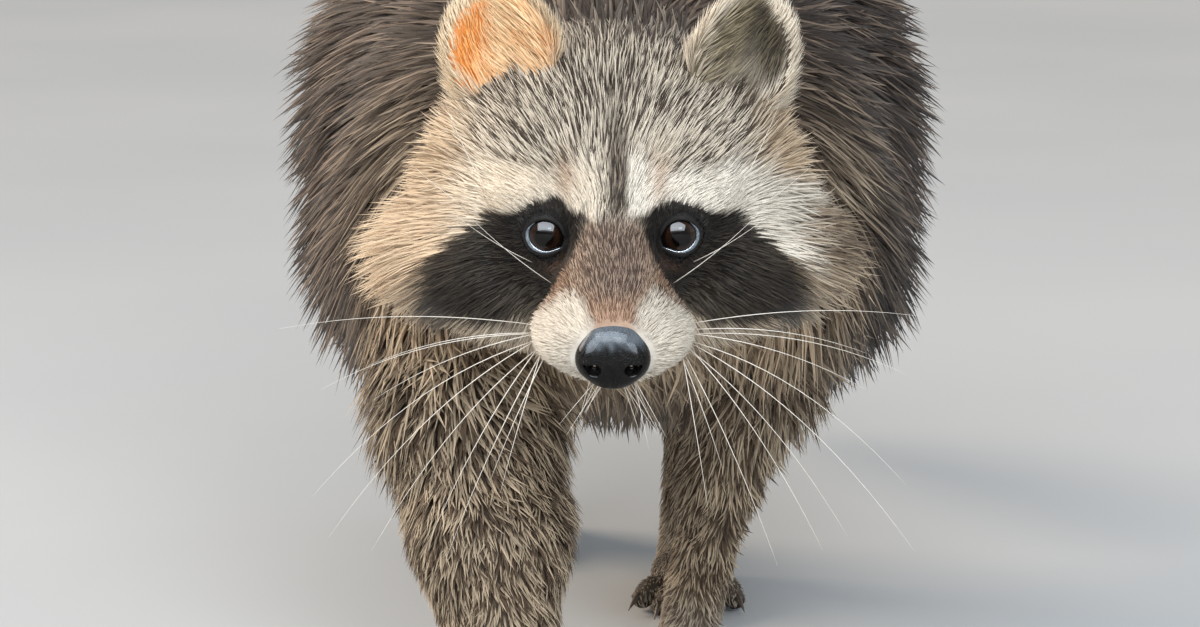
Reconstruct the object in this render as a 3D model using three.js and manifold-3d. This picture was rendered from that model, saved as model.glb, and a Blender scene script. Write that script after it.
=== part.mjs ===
// An adult raccoon, life size, walking with its head held low. The outline runs
// out to the tips of a thick winter coat.
//
// Units are millimetres, +Z is up, +X is the animal's left and it faces -Y. Every
// part is shaped with the eyes over y = 0 and the floor at z = 0. The finished
// group is then moved so that its origin is the middle of its footprint.
//
// The body is described by fields. A field takes a point and gives the distance
// to the coat's outline there, below zero inside. Round masses are blended into
// one field, a ball or a tube of facets is laid on it, and manifold-3d cuts each
// piece where it meets its neighbour.
import * as THREE from "three";
import { mergeVertices } from "three/addons/utils/BufferGeometryUtils.js";
import Module from "manifold-3d";

const wasm = await Module();
wasm.setup();

// ---------------------------------------------------------------- sizes

const GAP = 0.3; // kept between two pieces that meet
const EYE_HEIGHT = 200; // with the head held low
const HEAD_PITCH = 17; // degrees, nose down
const EYE_SPACING = 43; // between the centres of the eyes
const EYE_RADIUS = 8.3;
const EYE_DEPTH = 2.8; // of the eye's centre behind the face plane
const SKULL_WIDTH = 138; // across the coat above the cheeks
const RUFF_REACH = 43; // middle of a cheek ruff, from the midline
const MUZZLE_LENGTH = 50; // from the eyes forward to the nose
const NOSE_SIZE = [24.4, 15, 20]; // width, depth, height
const NOSE_DROP = 19; // nose below the eyes, square to the face
const EAR_SIZE = [44, 19, 50]; // width, depth, height of the whole oval
const EARS = {
  right: { out: 37.5, up: 43, lean: 8, turn: 14 }, // pricked a little higher
  left: { out: 44, up: 40, lean: 12, turn: 24 },
};
const CHEST_WIDTH = 204;
const BARREL_WIDTH = 256;
const RUMP_WIDTH = 240;
const WITHERS_HEIGHT = 302; // top of the back over the shoulders
const BACK_HEIGHT = 326; // at its middle
const RUMP_HEIGHT = 334; // raccoons stand higher behind
const BELLY_HEIGHT = 98;
const TAIL_WIDTH = 66; // at its thickest
const SOLE_HEIGHT = 9; // middle of a paw above the floor
const TOE_RADIUS = 5.4;
const CLAW_LENGTH = 11;

const COLOURS = {
  coat: { color: 0x6f665c, roughness: 0.9, metalness: 0 },
  face: { color: 0xa69b8d, roughness: 0.88, metalness: 0 },
  pale: { color: 0xd9d2c5, roughness: 0.85, metalness: 0 },
  limb: { color: 0x76695a, roughness: 0.9, metalness: 0 },
  paw: { color: 0x9b9083, roughness: 0.8, metalness: 0 },
  tail: { color: 0x8d7f6c, roughness: 0.9, metalness: 0 },
  nose: { color: 0x2a2623, roughness: 0.3, metalness: 0 },
  eye: { color: 0x15100c, roughness: 0.05, metalness: 0 },
};

// ---------------------------------------------------------------- fields

const vec = (x, y, z) => new THREE.Vector3(x, y, z);
const radians = THREE.MathUtils.degToRad;

// A rounded mass with three half sizes.
function mass(centre, halves) {
  const middle = vec(...centre);
  const half = vec(...halves);
  const least = Math.min(...halves);
  return (p) => {
    const q = p.clone().sub(middle).divide(half);
    const k = q.length();
    return k < 1e-6 ? -least : (k * (k - 1)) / q.divide(half).length();
  };
}

// A length of limb, thicker at one end than at the other.
function limb(a, aRadius, b, bRadius) {
  const start = vec(...a);
  const along = vec(...b).sub(start);
  return (p) => {
    const reach = p.clone().sub(start);
    const t = THREE.MathUtils.clamp(reach.dot(along) / along.lengthSq(), 0, 1);
    return reach.addScaledVector(along, -t).length() - THREE.MathUtils.lerp(aRadius, bRadius, t);
  };
}

// The same mass on both sides of the midline.
const paired = (field) => (p) => field(vec(Math.abs(p.x), p.y, p.z));

// Several masses as one, with creases filled over a width of about `soft`.
const blend = (soft, ...fields) => (p) =>
  fields.reduce((sum, field) => {
    const d = field(p);
    const overlap = Math.max(soft - Math.abs(sum - d), 0) / soft;
    return Math.min(sum, d) - (overlap * overlap * soft) / 4;
  }, 1e3);

// A field with another taken out of it, the edge rounded over about `soft`.
const dented = (soft, field, dent) => {
  const left = blend(soft, (p) => -field(p), dent);
  return (p) => -left(p);
};

const grown = (field, by) => (p) => field(p) - by;

// How far it is from a point inside to the outline, in one direction.
function reachOf(field, from, direction) {
  const at = (r) => field(from.clone().addScaledVector(direction, r));
  const STEP = 3;
  let inside = 0;
  while (at(inside + STEP) < 0) inside += STEP;
  let outside = inside + STEP;
  for (let i = 0; i < 18; i++) {
    const middle = (inside + outside) / 2;
    if (at(middle) < 0) inside = middle;
    else outside = middle;
  }
  return inside;
}

// ---------------------------------------------------------------- solids

function solidOf(geometry) {
  const bare = geometry.clone();
  bare.deleteAttribute("normal");
  bare.deleteAttribute("uv");
  const merged = mergeVertices(bare, 1e-3);
  const made = new wasm.Manifold(
    new wasm.Mesh({
      numProp: 3,
      vertProperties: merged.attributes.position.array,
      triVerts: new Uint32Array(merged.index.array),
    }),
  );
  if (made.volume() < 0) throw new Error("a shape is inside out");
  return made;
}

// A ball of facets whose poles lie fore and aft, drawn onto a field and then moved.
function ball(field, centre, around, along, move = new THREE.Matrix4()) {
  const middle = vec(...centre);
  const shape = new THREE.SphereGeometry(1, around, along).rotateX(Math.PI / 2);
  const places = shape.attributes.position;
  for (let i = 0; i < places.count; i++) {
    const way = vec().fromBufferAttribute(places, i).normalize();
    const tip = middle.clone().addScaledVector(way, reachOf(field, middle, way));
    places.setXYZ(i, ...tip);
  }
  return solidOf(shape.applyMatrix4(move));
}

// A tube of facets drawn onto a field. Its rings stand at stations of a centre
// line, each turned about X by its tilt: 0 stands upright across the body, 90
// lies flat across a leg. A domed end reaches out to the field.
function tube(field, stations, sides, domed = [false, false]) {
  const places = [];
  const faces = [];
  const ends = [];
  stations.forEach(({ at, tilt }, ring) => {
    const up = vec(0, Math.sin(radians(tilt)), Math.cos(radians(tilt)));
    for (let side = 0; side < sides; side++) {
      const turn = (2 * Math.PI * side) / sides;
      const way = vec(Math.sin(turn), 0, 0).addScaledVector(up, Math.cos(turn));
      places.push(...at.clone().addScaledVector(way, reachOf(field, at, way)));
      if (ring === 0) continue;
      const here = ring * sides + side;
      const next = ring * sides + ((side + 1) % sides);
      faces.push(here - sides, next, here, here - sides, next - sides, next);
    }
    if (ring > 0 && ring < stations.length - 1) return;
    const last = ring > 0;
    const out = vec(0, Math.cos(radians(tilt)), -Math.sin(radians(tilt)));
    out.multiplyScalar(last ? 1 : -1);
    const dome = domed[last ? 1 : 0] ? reachOf(field, at, out) : 0;
    ends.push({ ring, last, tip: at.clone().addScaledVector(out, dome) });
  });
  for (const { ring, last, tip } of ends) {
    const pole = places.length / 3;
    places.push(...tip);
    for (let side = 0; side < sides; side++) {
      const here = ring * sides + side;
      const next = ring * sides + ((side + 1) % sides);
      faces.push(...(last ? [here, next, pole] : [next, here, pole]));
    }
  }
  const shape = new THREE.BufferGeometry();
  shape.setAttribute("position", new THREE.Float32BufferAttribute(places, 3));
  shape.setIndex(faces);
  return solidOf(shape);
}

// Stations along a smooth line through points, with tilts that run from the
// first to the last, closer together towards the ends when `eased`.
function stationsOf(points, tilts, count, eased = false) {
  const line = new THREE.CatmullRomCurve3(points.map((p) => vec(...p)));
  return Array.from({ length: count }, (_, i) => {
    const even = i / (count - 1);
    const share = eased ? (1 - Math.cos(Math.PI * even)) / 2 : even;
    const step = share * (tilts.length - 1);
    const from = Math.min(Math.floor(step), tilts.length - 2);
    return {
      at: line.getPoint(share),
      tilt: THREE.MathUtils.lerp(tilts[from], tilts[from + 1], step - from),
    };
  });
}

const largest = (solid) =>
  solid.decompose().reduce((best, piece) => (piece.volume() > best.volume() ? piece : best));

function cut(solid, ...cutters) {
  return largest(cutters.reduce((left, cutter) => left.subtract(cutter), solid));
}

function meshOf(name, solid, finish) {
  const data = solid.getMesh();
  const shape = new THREE.BufferGeometry();
  const places = new Float32Array(data.numVert * 3);
  for (let i = 0; i < data.numVert; i++)
    places.set(data.vertProperties.subarray(i * data.numProp, i * data.numProp + 3), i * 3);
  shape.setAttribute("position", new THREE.BufferAttribute(places, 3));
  shape.setIndex(new THREE.BufferAttribute(data.triVerts, 1));
  const mesh = new THREE.Mesh(shape, new THREE.MeshStandardMaterial(COLOURS[finish]));
  mesh.name = name;
  return mesh;
}

// ---------------------------------------------------------------- head
// In the head's own frame: origin between the eyes, nose towards -Y.

const MUZZLE_CUT = -8; // where the muzzle parts from the head
const NAPE_CUT = 74; // where the neck does
const eyePlace = (side) => [(side * EYE_SPACING) / 2, EYE_DEPTH, 0];

const headMasses = blend(
  12,
  mass([0, 52, 0], [SKULL_WIDTH / 2, 56, 43]),
  paired(mass([RUFF_REACH, 44, -26], [43, 38, 36])),
  paired(mass([23, 12, 9], [17, 12, 9])), // brow over each eye
  limb([0, 10, -13], 25, [0, 12 - MUZZLE_LENGTH, -20], 15), // muzzle
  limb([0, 4, 4], 15, [0, 6 - MUZZLE_LENGTH, -15], 9), // bridge of the nose
  paired(mass([11.5, 18 - MUZZLE_LENGTH, -23], [15, 18, 12.5])), // whisker pads
  limb([0, 30, -36], 24, [0, 22 - MUZZLE_LENGTH, -33], 8.5), // lower jaw
);

const eyeDents = paired(mass([EYE_SPACING / 2 + 0.8, -7.5, 0.6], [9.2, 5.6, 8.6]));
const headField = dented(3, headMasses, eyeDents);

function eyeball(side, extra = 0) {
  const shape = new THREE.SphereGeometry(EYE_RADIUS + extra, 14, 9);
  return solidOf(shape.translate(...eyePlace(side)));
}

// The nose leather: wide and flat above, narrower below, with two nostrils.
function noseLeather(extra = 0) {
  const [width, depth, height] = NOSE_SIZE;
  const shape = new THREE.SphereGeometry(0.5, 14, 9);
  const places = shape.attributes.position;
  for (let i = 0; i < places.count; i++) {
    const p = vec().fromBufferAttribute(places, i);
    const squared = 1 + 0.35 * Math.min(Math.abs(p.x), Math.abs(p.z));
    const taper = 1 + 0.24 * p.z;
    p.multiply(vec(squared * taper * (width + extra), depth + extra, squared * (height + extra)));
    places.setXYZ(i, ...p);
  }
  return solidOf(shape.translate(0, -MUZZLE_LENGTH, -NOSE_DROP));
}

function nostril(side) {
  const shape = new THREE.SphereGeometry(1, 7, 5).scale(2.6, 5, 2.1);
  shape.rotateY(radians(side * 24));
  return solidOf(shape.translate(side * 6.6, -MUZZLE_LENGTH - 7.5, -NOSE_DROP - 3));
}

// An ear: an oval with its front hollowed out, turned and leaned into place.
function ear(side, { out, up, lean, turn }) {
  const [width, depth, height] = EAR_SIZE.map((size) => size / 2);
  const outer = new THREE.SphereGeometry(1, 12, 8).scale(width, depth, height);
  const hollow = new THREE.SphereGeometry(1, 9, 6).scale(width - 6, depth, height - 7);
  hollow.translate(0, -depth + 1.5, 2);
  const placed = (shape) => {
    shape.rotateX(radians(-8)).rotateZ(radians(side * turn)).rotateY(radians(side * lean));
    return solidOf(shape.translate(side * out, 52, up));
  };
  return placed(outer).subtract(placed(hollow));
}

const headBall = (extra, move) => ball(grown(headField, extra), [0, 26, -8], 26, 20, move);

// Blocks in front of the cut across the muzzle and behind the cut at the nape.
function muzzleBlock(extra) {
  const front = new THREE.BoxGeometry(120, 80, 120);
  return solidOf(front.translate(0, MUZZLE_CUT - 40 + extra, -20));
}
function napeBlock() {
  const back = new THREE.BoxGeometry(300, 120, 300);
  return solidOf(back.translate(0, NAPE_CUT + 60, 0));
}

function makeHead() {
  const whole = headBall(0);
  const noseRoom = noseLeather(2 * GAP);
  const head = new THREE.Group();
  const add = (...parts) => head.add(meshOf(...parts));
  const eyeRooms = [eyeball(-1, GAP), eyeball(1, GAP)];
  add("head", cut(whole, muzzleBlock(GAP), napeBlock(), ...eyeRooms), "face");
  add("muzzle", cut(whole.intersect(muzzleBlock(0)), noseRoom), "pale");
  add("nose", cut(noseLeather(), nostril(-1), nostril(1)), "nose");
  add("eye_right", eyeball(-1), "eye");
  add("eye_left", eyeball(1), "eye");
  const skull = headBall(GAP);
  add("ear_right", cut(ear(-1, EARS.right), skull), "pale");
  add("ear_left", cut(ear(1, EARS.left), skull), "pale");
  head.position.set(0, 0, EYE_HEIGHT);
  head.rotation.x = radians(HEAD_PITCH);
  head.updateMatrix();
  return head;
}

// ---------------------------------------------------------------- legs
// Each leg is named by its joints: shoulder or hip, elbow or knee, the next joint
// down, and the ankle. A side is -1 for the right and 1 for the left.

const LEGS = {
  foreleg_right: {
    side: -1,
    joints: [[-60, 150, 182], [-52, 104, 122], [-43, 76, 78], [-36, 52, 14]],
    radii: [50, 43, 32, 17],
    tilts: [122, 116, 108],
    paw: { at: [-35, 36], turn: 4, toe: 24, palm: [18, 25] },
  },
  foreleg_left: {
    side: 1,
    joints: [[60, 152, 182], [53, 158, 122], [41, 162, 78], [29, 171, 14]],
    radii: [50, 33, 18, 13],
    tilts: [86, 84, 82],
    paw: { at: [28, 160], turn: -4, toe: 23, palm: [16, 25] },
  },
  hindleg_right: {
    side: -1,
    joints: [[-62, 350, 178], [-62, 366, 118], [-52, 404, 74], [-46, 420, 16]],
    radii: [58, 44, 26, 17],
    tilts: [50, 58, 78],
    paw: { at: [-46, 396], turn: 6, toe: 21, palm: [17, 38] },
  },
  hindleg_left: {
    side: 1,
    joints: [[62, 344, 178], [58, 306, 118], [44, 318, 76], [35, 326, 16]],
    radii: [58, 46, 25, 16],
    tilts: [72, 76, 84],
    paw: { at: [34, 303], turn: -6, toe: 21, palm: [17, 38] },
  },
};

// The leg below its elbow or knee.
function shankTube({ joints, radii, tilts }) {
  const bones = [
    limb(joints[1], radii[1] - 5, joints[2], radii[2]),
    limb(joints[2], radii[2], joints[3], radii[3]),
  ];
  return tube(blend(12, ...bones), stationsOf(joints.slice(1), tilts, 7), 12);
}

function palm({ paw }, extra = 0) {
  const [width, length] = paw.palm;
  const shape = new THREE.SphereGeometry(1, 9, 6);
  shape.scale(width + extra, length + extra, SOLE_HEIGHT + 8 + extra);
  return solidOf(shape.translate(paw.at[0], paw.at[1], SOLE_HEIGHT));
}

// A toe and its claw, from its root forwards, turned about the upright.
function toe(length, root, turn) {
  const finger = new THREE.CapsuleGeometry(TOE_RADIUS, length, 2, 6);
  const claw = new THREE.ConeGeometry(2, CLAW_LENGTH, 4).rotateX(radians(20));
  finger.translate(0, length / 2, 0);
  claw.translate(0, length + TOE_RADIUS + CLAW_LENGTH / 4, 1.5);
  const placed = (shape) => solidOf(shape.rotateZ(radians(180 + turn)).translate(...root));
  return placed(finger).add(placed(claw));
}

function pawSolid(leg) {
  const { paw, side } = leg;
  const [width, length] = paw.palm;
  const TOES = 5;
  let made = palm(leg);
  for (let i = 0; i < TOES; i++) {
    const across = (i / (TOES - 1)) * 2 - 1; // -1 to 1 over the five toes
    const root = [
      paw.at[0] + across * (width - 5),
      paw.at[1] - length * (0.66 - 0.3 * across * across),
      TOE_RADIUS - 0.6,
    ];
    const size = paw.toe * (1 - 0.22 * across * across);
    made = made.add(toe(size, root, across * 26 + paw.turn * side));
  }
  const overFloor = new THREE.BoxGeometry(200, 200, 100).translate(paw.at[0], paw.at[1], 50);
  return made.intersect(solidOf(overFloor));
}

// The plug of shoulder or haunch that parts with the leg: seen from the side, an
// outline round the leg's first two joints, taken outwards from near the midline.
function plug({ side, joints, radii }, extra = 0) {
  const PLUG_DEPTH = 12; // from the midline to the plug's inner face
  const PLUG_REACH = 120;
  const [, hipY, hipZ] = joints[0];
  const [, kneeY, kneeZ] = joints[1];
  const line = Math.atan2(kneeZ - hipZ, kneeY - hipY);
  const outline = new THREE.Shape();
  outline.absarc(hipY, hipZ, radii[0] - 6 + extra, line + Math.PI / 2, line - Math.PI / 2, false);
  outline.absarc(kneeY, kneeZ, radii[1] + 12 + extra, line - Math.PI / 2, line + Math.PI / 2, false);
  const block = { depth: PLUG_REACH, bevelEnabled: false, curveSegments: 7 };
  const shape = new THREE.ExtrudeGeometry(outline, block);
  // The drawing's X and Y are the body's Y and Z, so its depth runs along X.
  shape.applyMatrix4(new THREE.Matrix4().makeBasis(vec(0, 1, 0), vec(0, 0, 1), vec(1, 0, 0)));
  shape.translate(side > 0 ? PLUG_DEPTH - extra : extra - PLUG_DEPTH - PLUG_REACH, 0, 0);
  return solidOf(shape);
}

// ---------------------------------------------------------------- trunk

const CHEST_CUT = { y: 112, z: 206 }; // where the neck parts from the trunk

// An upright oval of trunk between two heights.
const girth = (y, width, length, low, high) =>
  mass([0, y, (low + high) / 2], [width / 2, length / 2, (high - low) / 2]);

const trunkField = blend(
  20,
  blend(
    34,
    girth(152, CHEST_WIDTH - 8, 170, BELLY_HEIGHT + 16, WITHERS_HEIGHT),
    girth(250, BARREL_WIDTH - 4, 250, BELLY_HEIGHT, BACK_HEIGHT),
    girth(345, RUMP_WIDTH - 6, 196, BELLY_HEIGHT + 8, RUMP_HEIGHT),
    paired(mass([50, 246, 160], [BARREL_WIDTH / 2 - 54, 116, 66])), // flanks hang full
  ),
  ...Object.values(LEGS).map(({ joints, radii }) => limb(joints[0], radii[0], joints[1], radii[1])),
);

function trunkTube(extra = 0) {
  const line = [[0, CHEST_CUT.y, CHEST_CUT.z], [0, 200, 208], [0, 310, 212], [0, 430, 216]];
  const stations = stationsOf(line, [0, 0], 15, true);
  return tube(grown(trunkField, extra), stations, 24, [false, true]);
}

// The trunk as seen from inside one shoulder or haunch.
function shoulderBall({ joints }, extra = 0) {
  const centre = joints[0].map((place, axis) => (place + joints[1][axis]) / 2);
  return ball(grown(trunkField, extra), centre, 16, 12);
}

// The neck runs from the nape to the chest, and its field holds both.
function neckTube(head) {
  const toHead = head.matrix.clone().invert();
  const headHere = (p) => headField(p.clone().applyMatrix4(toHead));
  const field = blend(24, headHere, trunkField, limb([0, 66, 208], 60, [0, 130, 208], 82));
  const nape = vec(0, NAPE_CUT + GAP, -6).applyMatrix4(head.matrix);
  const line = [[...nape], [0, 92, 211], [0, CHEST_CUT.y - GAP, CHEST_CUT.z]];
  return tube(field, stationsOf(line, [-HEAD_PITCH, 0], 4), 24);
}

// ---------------------------------------------------------------- tail

const TAIL_LINE = [[0, 416, 246], [0, 478, 218], [4, 540, 164], [12, 600, 112], [20, 656, 72]];
const TAIL_SHARES = [0.74, 0.88, 1, 0.96, 0.56]; // of the greatest width
const TAIL_TILTS = [22, 34, 42, 38, 26];
const TAIL_LENGTHS = ["tail_base", "tail_middle", "tail_tip"];
const RINGS_A_LENGTH = 5;

const tailField = blend(
  8,
  ...TAIL_LINE.slice(1).map((point, i) => {
    const [thick, next] = [TAIL_SHARES[i], TAIL_SHARES[i + 1]].map((k) => (k * TAIL_WIDTH) / 2);
    return limb(TAIL_LINE[i], thick, point, next);
  }),
);

function tailTubes() {
  const stations = stationsOf(TAIL_LINE, TAIL_TILTS, TAIL_LENGTHS.length * RINGS_A_LENGTH + 1);
  return TAIL_LENGTHS.map((name, i) => {
    const first = i * RINGS_A_LENGTH;
    const part = stations.slice(first, first + RINGS_A_LENGTH + 1);
    const last = name === "tail_tip";
    if (!last) {
      // it ends a gap short of the next length
      const { at, tilt } = part[RINGS_A_LENGTH];
      const back = vec(0, -Math.cos(radians(tilt)), Math.sin(radians(tilt)));
      part[RINGS_A_LENGTH] = { at: at.clone().addScaledVector(back, GAP), tilt };
    }
    return [name, tube(tailField, part, 12, [false, last])];
  });
}

// ---------------------------------------------------------------- the raccoon

function makeBody(head) {
  const body = new THREE.Group();
  const add = (...parts) => body.add(meshOf(...parts));
  const legs = Object.entries(LEGS);
  const plugRooms = legs.map(([, leg]) => plug(leg, GAP));
  const headRoom = headBall(GAP, head.matrix);

  add("trunk", cut(trunkTube(), ...plugRooms), "coat");
  add("neck", cut(neckTube(head), ...plugRooms), "coat");
  for (const [name, leg] of legs) {
    const upper = cut(shoulderBall(leg).intersect(plug(leg)), headRoom);
    const lower = cut(shankTube(leg), shoulderBall(leg, GAP), palm(leg, GAP));
    add(`${name}_upper`, upper, "coat");
    add(`${name}_lower`, lower, "limb");
    add(name.replace("leg", "paw"), pawSolid(leg), "paw");
  }
  for (const [name, length] of tailTubes()) add(name, cut(length, trunkTube(GAP)), "tail");
  return body;
}

const raccoon = new THREE.Group();
const head = makeHead();
raccoon.add(head, makeBody(head));

const box = new THREE.Box3().setFromObject(raccoon, true);
const middle = box.getCenter(vec());
raccoon.position.set(-middle.x, -middle.y, -box.min.z);

export default raccoon;
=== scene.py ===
import math

import bmesh
import bpy
import numpy as np
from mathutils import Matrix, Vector


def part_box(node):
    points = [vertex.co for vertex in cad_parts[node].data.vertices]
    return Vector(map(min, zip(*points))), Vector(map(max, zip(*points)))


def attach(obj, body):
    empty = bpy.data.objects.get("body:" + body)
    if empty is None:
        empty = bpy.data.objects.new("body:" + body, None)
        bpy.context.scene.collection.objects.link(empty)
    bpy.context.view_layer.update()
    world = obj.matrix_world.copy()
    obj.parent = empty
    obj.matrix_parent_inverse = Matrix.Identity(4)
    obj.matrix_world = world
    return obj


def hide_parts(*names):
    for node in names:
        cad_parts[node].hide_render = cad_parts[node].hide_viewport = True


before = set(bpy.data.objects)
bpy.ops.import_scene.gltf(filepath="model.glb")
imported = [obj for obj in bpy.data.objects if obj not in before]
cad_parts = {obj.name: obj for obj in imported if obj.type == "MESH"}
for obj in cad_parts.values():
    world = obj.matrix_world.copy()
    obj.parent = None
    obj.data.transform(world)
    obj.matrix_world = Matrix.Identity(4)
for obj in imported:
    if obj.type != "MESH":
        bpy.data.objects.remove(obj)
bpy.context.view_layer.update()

F = np.float64

# ------------------------------------------------------------------ sizes, mm

EYE_SPACING = 43.0
EYE_RADIUS = 8.3
EYE_DEPTH = 2.8          # of the eye's centre behind the face plane
HEAD_PITCH = math.radians(17)
EYE_HEIGHT = 200.0
MUZZLE_LENGTH = 50.0
NOSE_DROP = 19.0
TAIL_WIDTH = 66.0
SOLE_HEIGHT = 9.0
SMALL_LOCK, LARGE_LOCK = 3.2, 10.5
BARE_EYE = 6.9           # no hair grows nearer to the middle of an eye
TOE_RADIUS = 5.4
CLAW_LENGTH = 11.0
SKIN_STEP = 3.2          # of the skin's mesh over the body
NOSE_STEP = 0.42         # and of the nose's
SKIN_BOX = np.array([[-135.0, -70, -6], [135, 700, 345]])
NOSE_BOX = np.array([[-15.0, -61, -31], [15, -41, -8]])
LONG_HAIR = 26.0         # longer tufts have three steps, the rest two
MID_BODY = 245           # y that parts the fore half from the hind half
LID_STEPS = 72
LID_FUR = slice(4, 10)   # the rows of a lid that carry hair
EYE_STEPS = 48

# the frame's place of the point under the eyes
eye_low, eye_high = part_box("eye_left")
eye_left = np.array((eye_low + eye_high) / 2, F) * 1000
own_eye = np.array([EYE_SPACING / 2,
                    EYE_DEPTH * math.cos(HEAD_PITCH),
                    EYE_HEIGHT + EYE_DEPTH * math.sin(HEAD_PITCH)])
SHIFT = eye_left - own_eye

HEAD_TURN = np.array([[1, 0, 0],
                      [0, math.cos(HEAD_PITCH), -math.sin(HEAD_PITCH)],
                      [0, math.sin(HEAD_PITCH), math.cos(HEAD_PITCH)]])
HEAD_AT = np.array([0, 0, EYE_HEIGHT])


def to_head(p):
    """Body places as head places: origin between the eyes, nose towards -Y."""
    return (p - HEAD_AT) @ HEAD_TURN


def from_head(q):
    """The other way."""
    return q @ HEAD_TURN.T + HEAD_AT


def to_frame(p):
    """Body places in mm as the frame's in m."""
    return (p + SHIFT) / 1000


# ------------------------------------------------------------------ small maths

def ring_turns(count):
    """Angles evenly round a ring."""
    return np.linspace(0, 2 * math.pi, count, endpoint=False)


def unit(v):
    return v / np.maximum(np.linalg.norm(v, axis=-1, keepdims=True), 1e-9)


def ease(low, high, x):
    """0 below low and 1 above high, smooth between."""
    t = np.clip((x - low) / (high - low), 0, 1)
    return t * t * (3 - 2 * t)


def along_skin(v, normal):
    """Vectors without their part along the normal."""
    return v - (v * normal).sum(1, keepdims=True) * normal


def lerp(a, b, t):
    return a + (b - a) * t


def bump_of(x, middle, reach):
    """A smooth hump of height 1."""
    return np.exp(-((x - middle) / reach) ** 2)


def waves(p, size, seed):
    """Smooth noise between about -1 and 1, with waves about size across."""
    rng = np.random.default_rng(seed)
    total = 0
    for _ in range(7):
        way = unit(rng.normal(size=3)) * rng.uniform(0.7, 1.5)
        total = total + np.sin(p @ way * (2 * math.pi / size) + rng.uniform(0, 2 * math.pi))
    return total / 3


# ------------------------------------------------------------------ fields
# A field takes places and gives the distance to an outline, below zero inside.

def mass(centre, halves):
    """A rounded mass with three half sizes."""
    centre, halves = np.array(centre, F), np.array(halves, F)

    def field(p):
        q = (p - centre) / halves
        k = np.linalg.norm(q, axis=-1)
        return k * (k - 1) / np.maximum(np.linalg.norm(q / halves, axis=-1), 1e-6)
    return field


def limb(a, a_radius, b, b_radius):
    """A round bar from a to b."""
    a, b = np.array(a, F), np.array(b, F)
    along = b - a

    def field(p):
        reach = p - a
        t = np.clip(reach @ along / (along @ along), 0, 1)
        gap = np.linalg.norm(reach - t[..., None] * along, axis=-1)
        return gap - lerp(a_radius, b_radius, t)
    return field


def paired(field):
    """The same shape on both sides of the midline."""
    return lambda p: field(np.stack([np.abs(p[..., 0]), p[..., 1], p[..., 2]], -1))


def blend(soft, *fields):
    """Shapes joined, with a fillet about as wide as soft."""
    def field(p):
        total = fields[0](p)
        for other in fields[1:]:
            d = other(p)
            overlap = np.maximum(soft - np.abs(total - d), 0) / soft
            total = np.minimum(total, d) - overlap * overlap * soft / 4
        return total
    return field


def dented(soft, field, dent):
    """A shape with another pressed out of it."""
    left = blend(soft, lambda p: -field(p), dent)
    return lambda p: -left(p)


def chain(joints, radii, soft):
    """Round bars through a row of joints."""
    bones = [limb(joints[i], radii[i], joints[i + 1], radii[i + 1])
             for i in range(len(joints) - 1)]
    return blend(soft, *bones)


# ------------------------------------------------------------------ the skin's shape

# joints run from shoulder or hip to wrist or ankle. A paw has its middle, the degrees it
# turns outwards, the length of its toes and the half width and half length of its palm.
LEGS = {
    "foreleg_right": dict(
        side=-1, joints=[(-60, 150, 182), (-52, 104, 122), (-43, 76, 78), (-36, 52, 14)],
        radii=(50, 43, 32, 17), paw=dict(at=(-35, 36), turn=4, toe=24, palm=(18, 25))),
    "foreleg_left": dict(
        side=1, joints=[(60, 152, 182), (53, 158, 122), (41, 162, 78), (29, 171, 14)],
        radii=(50, 33, 18, 13), paw=dict(at=(28, 160), turn=-4, toe=23, palm=(16, 25))),
    "hindleg_right": dict(
        side=-1, joints=[(-62, 350, 178), (-62, 366, 118), (-52, 404, 74), (-46, 420, 16)],
        radii=(58, 44, 26, 17), paw=dict(at=(-46, 396), turn=6, toe=21, palm=(17, 38))),
    "hindleg_left": dict(
        side=1, joints=[(62, 344, 178), (58, 306, 118), (44, 318, 76), (35, 326, 16)],
        radii=(58, 46, 25, 16), paw=dict(at=(34, 303), turn=-6, toe=21, palm=(17, 38))),
}
TAIL_LINE = [(0, 416, 246), (0, 478, 218), (4, 540, 164), (12, 600, 112), (20, 656, 72)]
TAIL_SHARES = (0.74, 0.88, 1, 0.96, 0.56)
LEG_COAT = (26, 17, 7.5, 2.5)     # depth of coat at a leg's four joints
TRUNK_COAT, NECK_COAT, PAW_COAT = 26, 20, 1.3
TAIL_COAT = (16, 18, 20, 19, 12)


def girth(y, width, length, low, high):
    """A rounded length of the body about y, from low to high above the floor."""
    return mass((0, y, (low + high) / 2), (width / 2, length / 2, (high - low) / 2))


head_outline = blend(
    12,
    mass((0, 52, 0), (69, 56, 43)),
    paired(mass((43, 44, -26), (43, 38, 36))),                  # cheek ruffs
    paired(mass((23, 12, 9), (17, 12, 9))),                     # brows
    limb((0, 10, -13), 25, (0, 12 - MUZZLE_LENGTH, -20), 14.4),   # muzzle
    limb((0, 4, 4), 15, (0, 6 - MUZZLE_LENGTH, -15), 9),        # bridge of the nose
    paired(mass((11.6, 18 - MUZZLE_LENGTH, -20.6), (15, 18, 10.6))),   # whisker pads
    limb((0, 30, -36), 24, (0, 22 - MUZZLE_LENGTH, -31.6), 6.6),  # lower jaw
)


def head_coat(q):
    """Depth of coat over the head: next to nothing round the nose and eyes."""
    x, y, z = np.abs(q[..., 0]), q[..., 1], q[..., 2]
    back = lerp(1.3, 7.0, ease(-30, 34, y))
    cheek = 13 * ease(26, 66, x) * ease(4, 34, y)
    nape = 9 * ease(40, 80, y)
    eye = np.sqrt((x - EYE_SPACING / 2) ** 2 + (y + 2) ** 2 + z ** 2)
    chin = 1.2 * ease(-22, -34, z) * ease(-8, -26, y)
    return lerp(1.2, back + cheek + nape, ease(8, 26, eye)) + chin


eye_dents = paired(mass((EYE_SPACING / 2 + 0.8, -7.5, 0.6), (9.2, 5.6, 8.6)))

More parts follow.
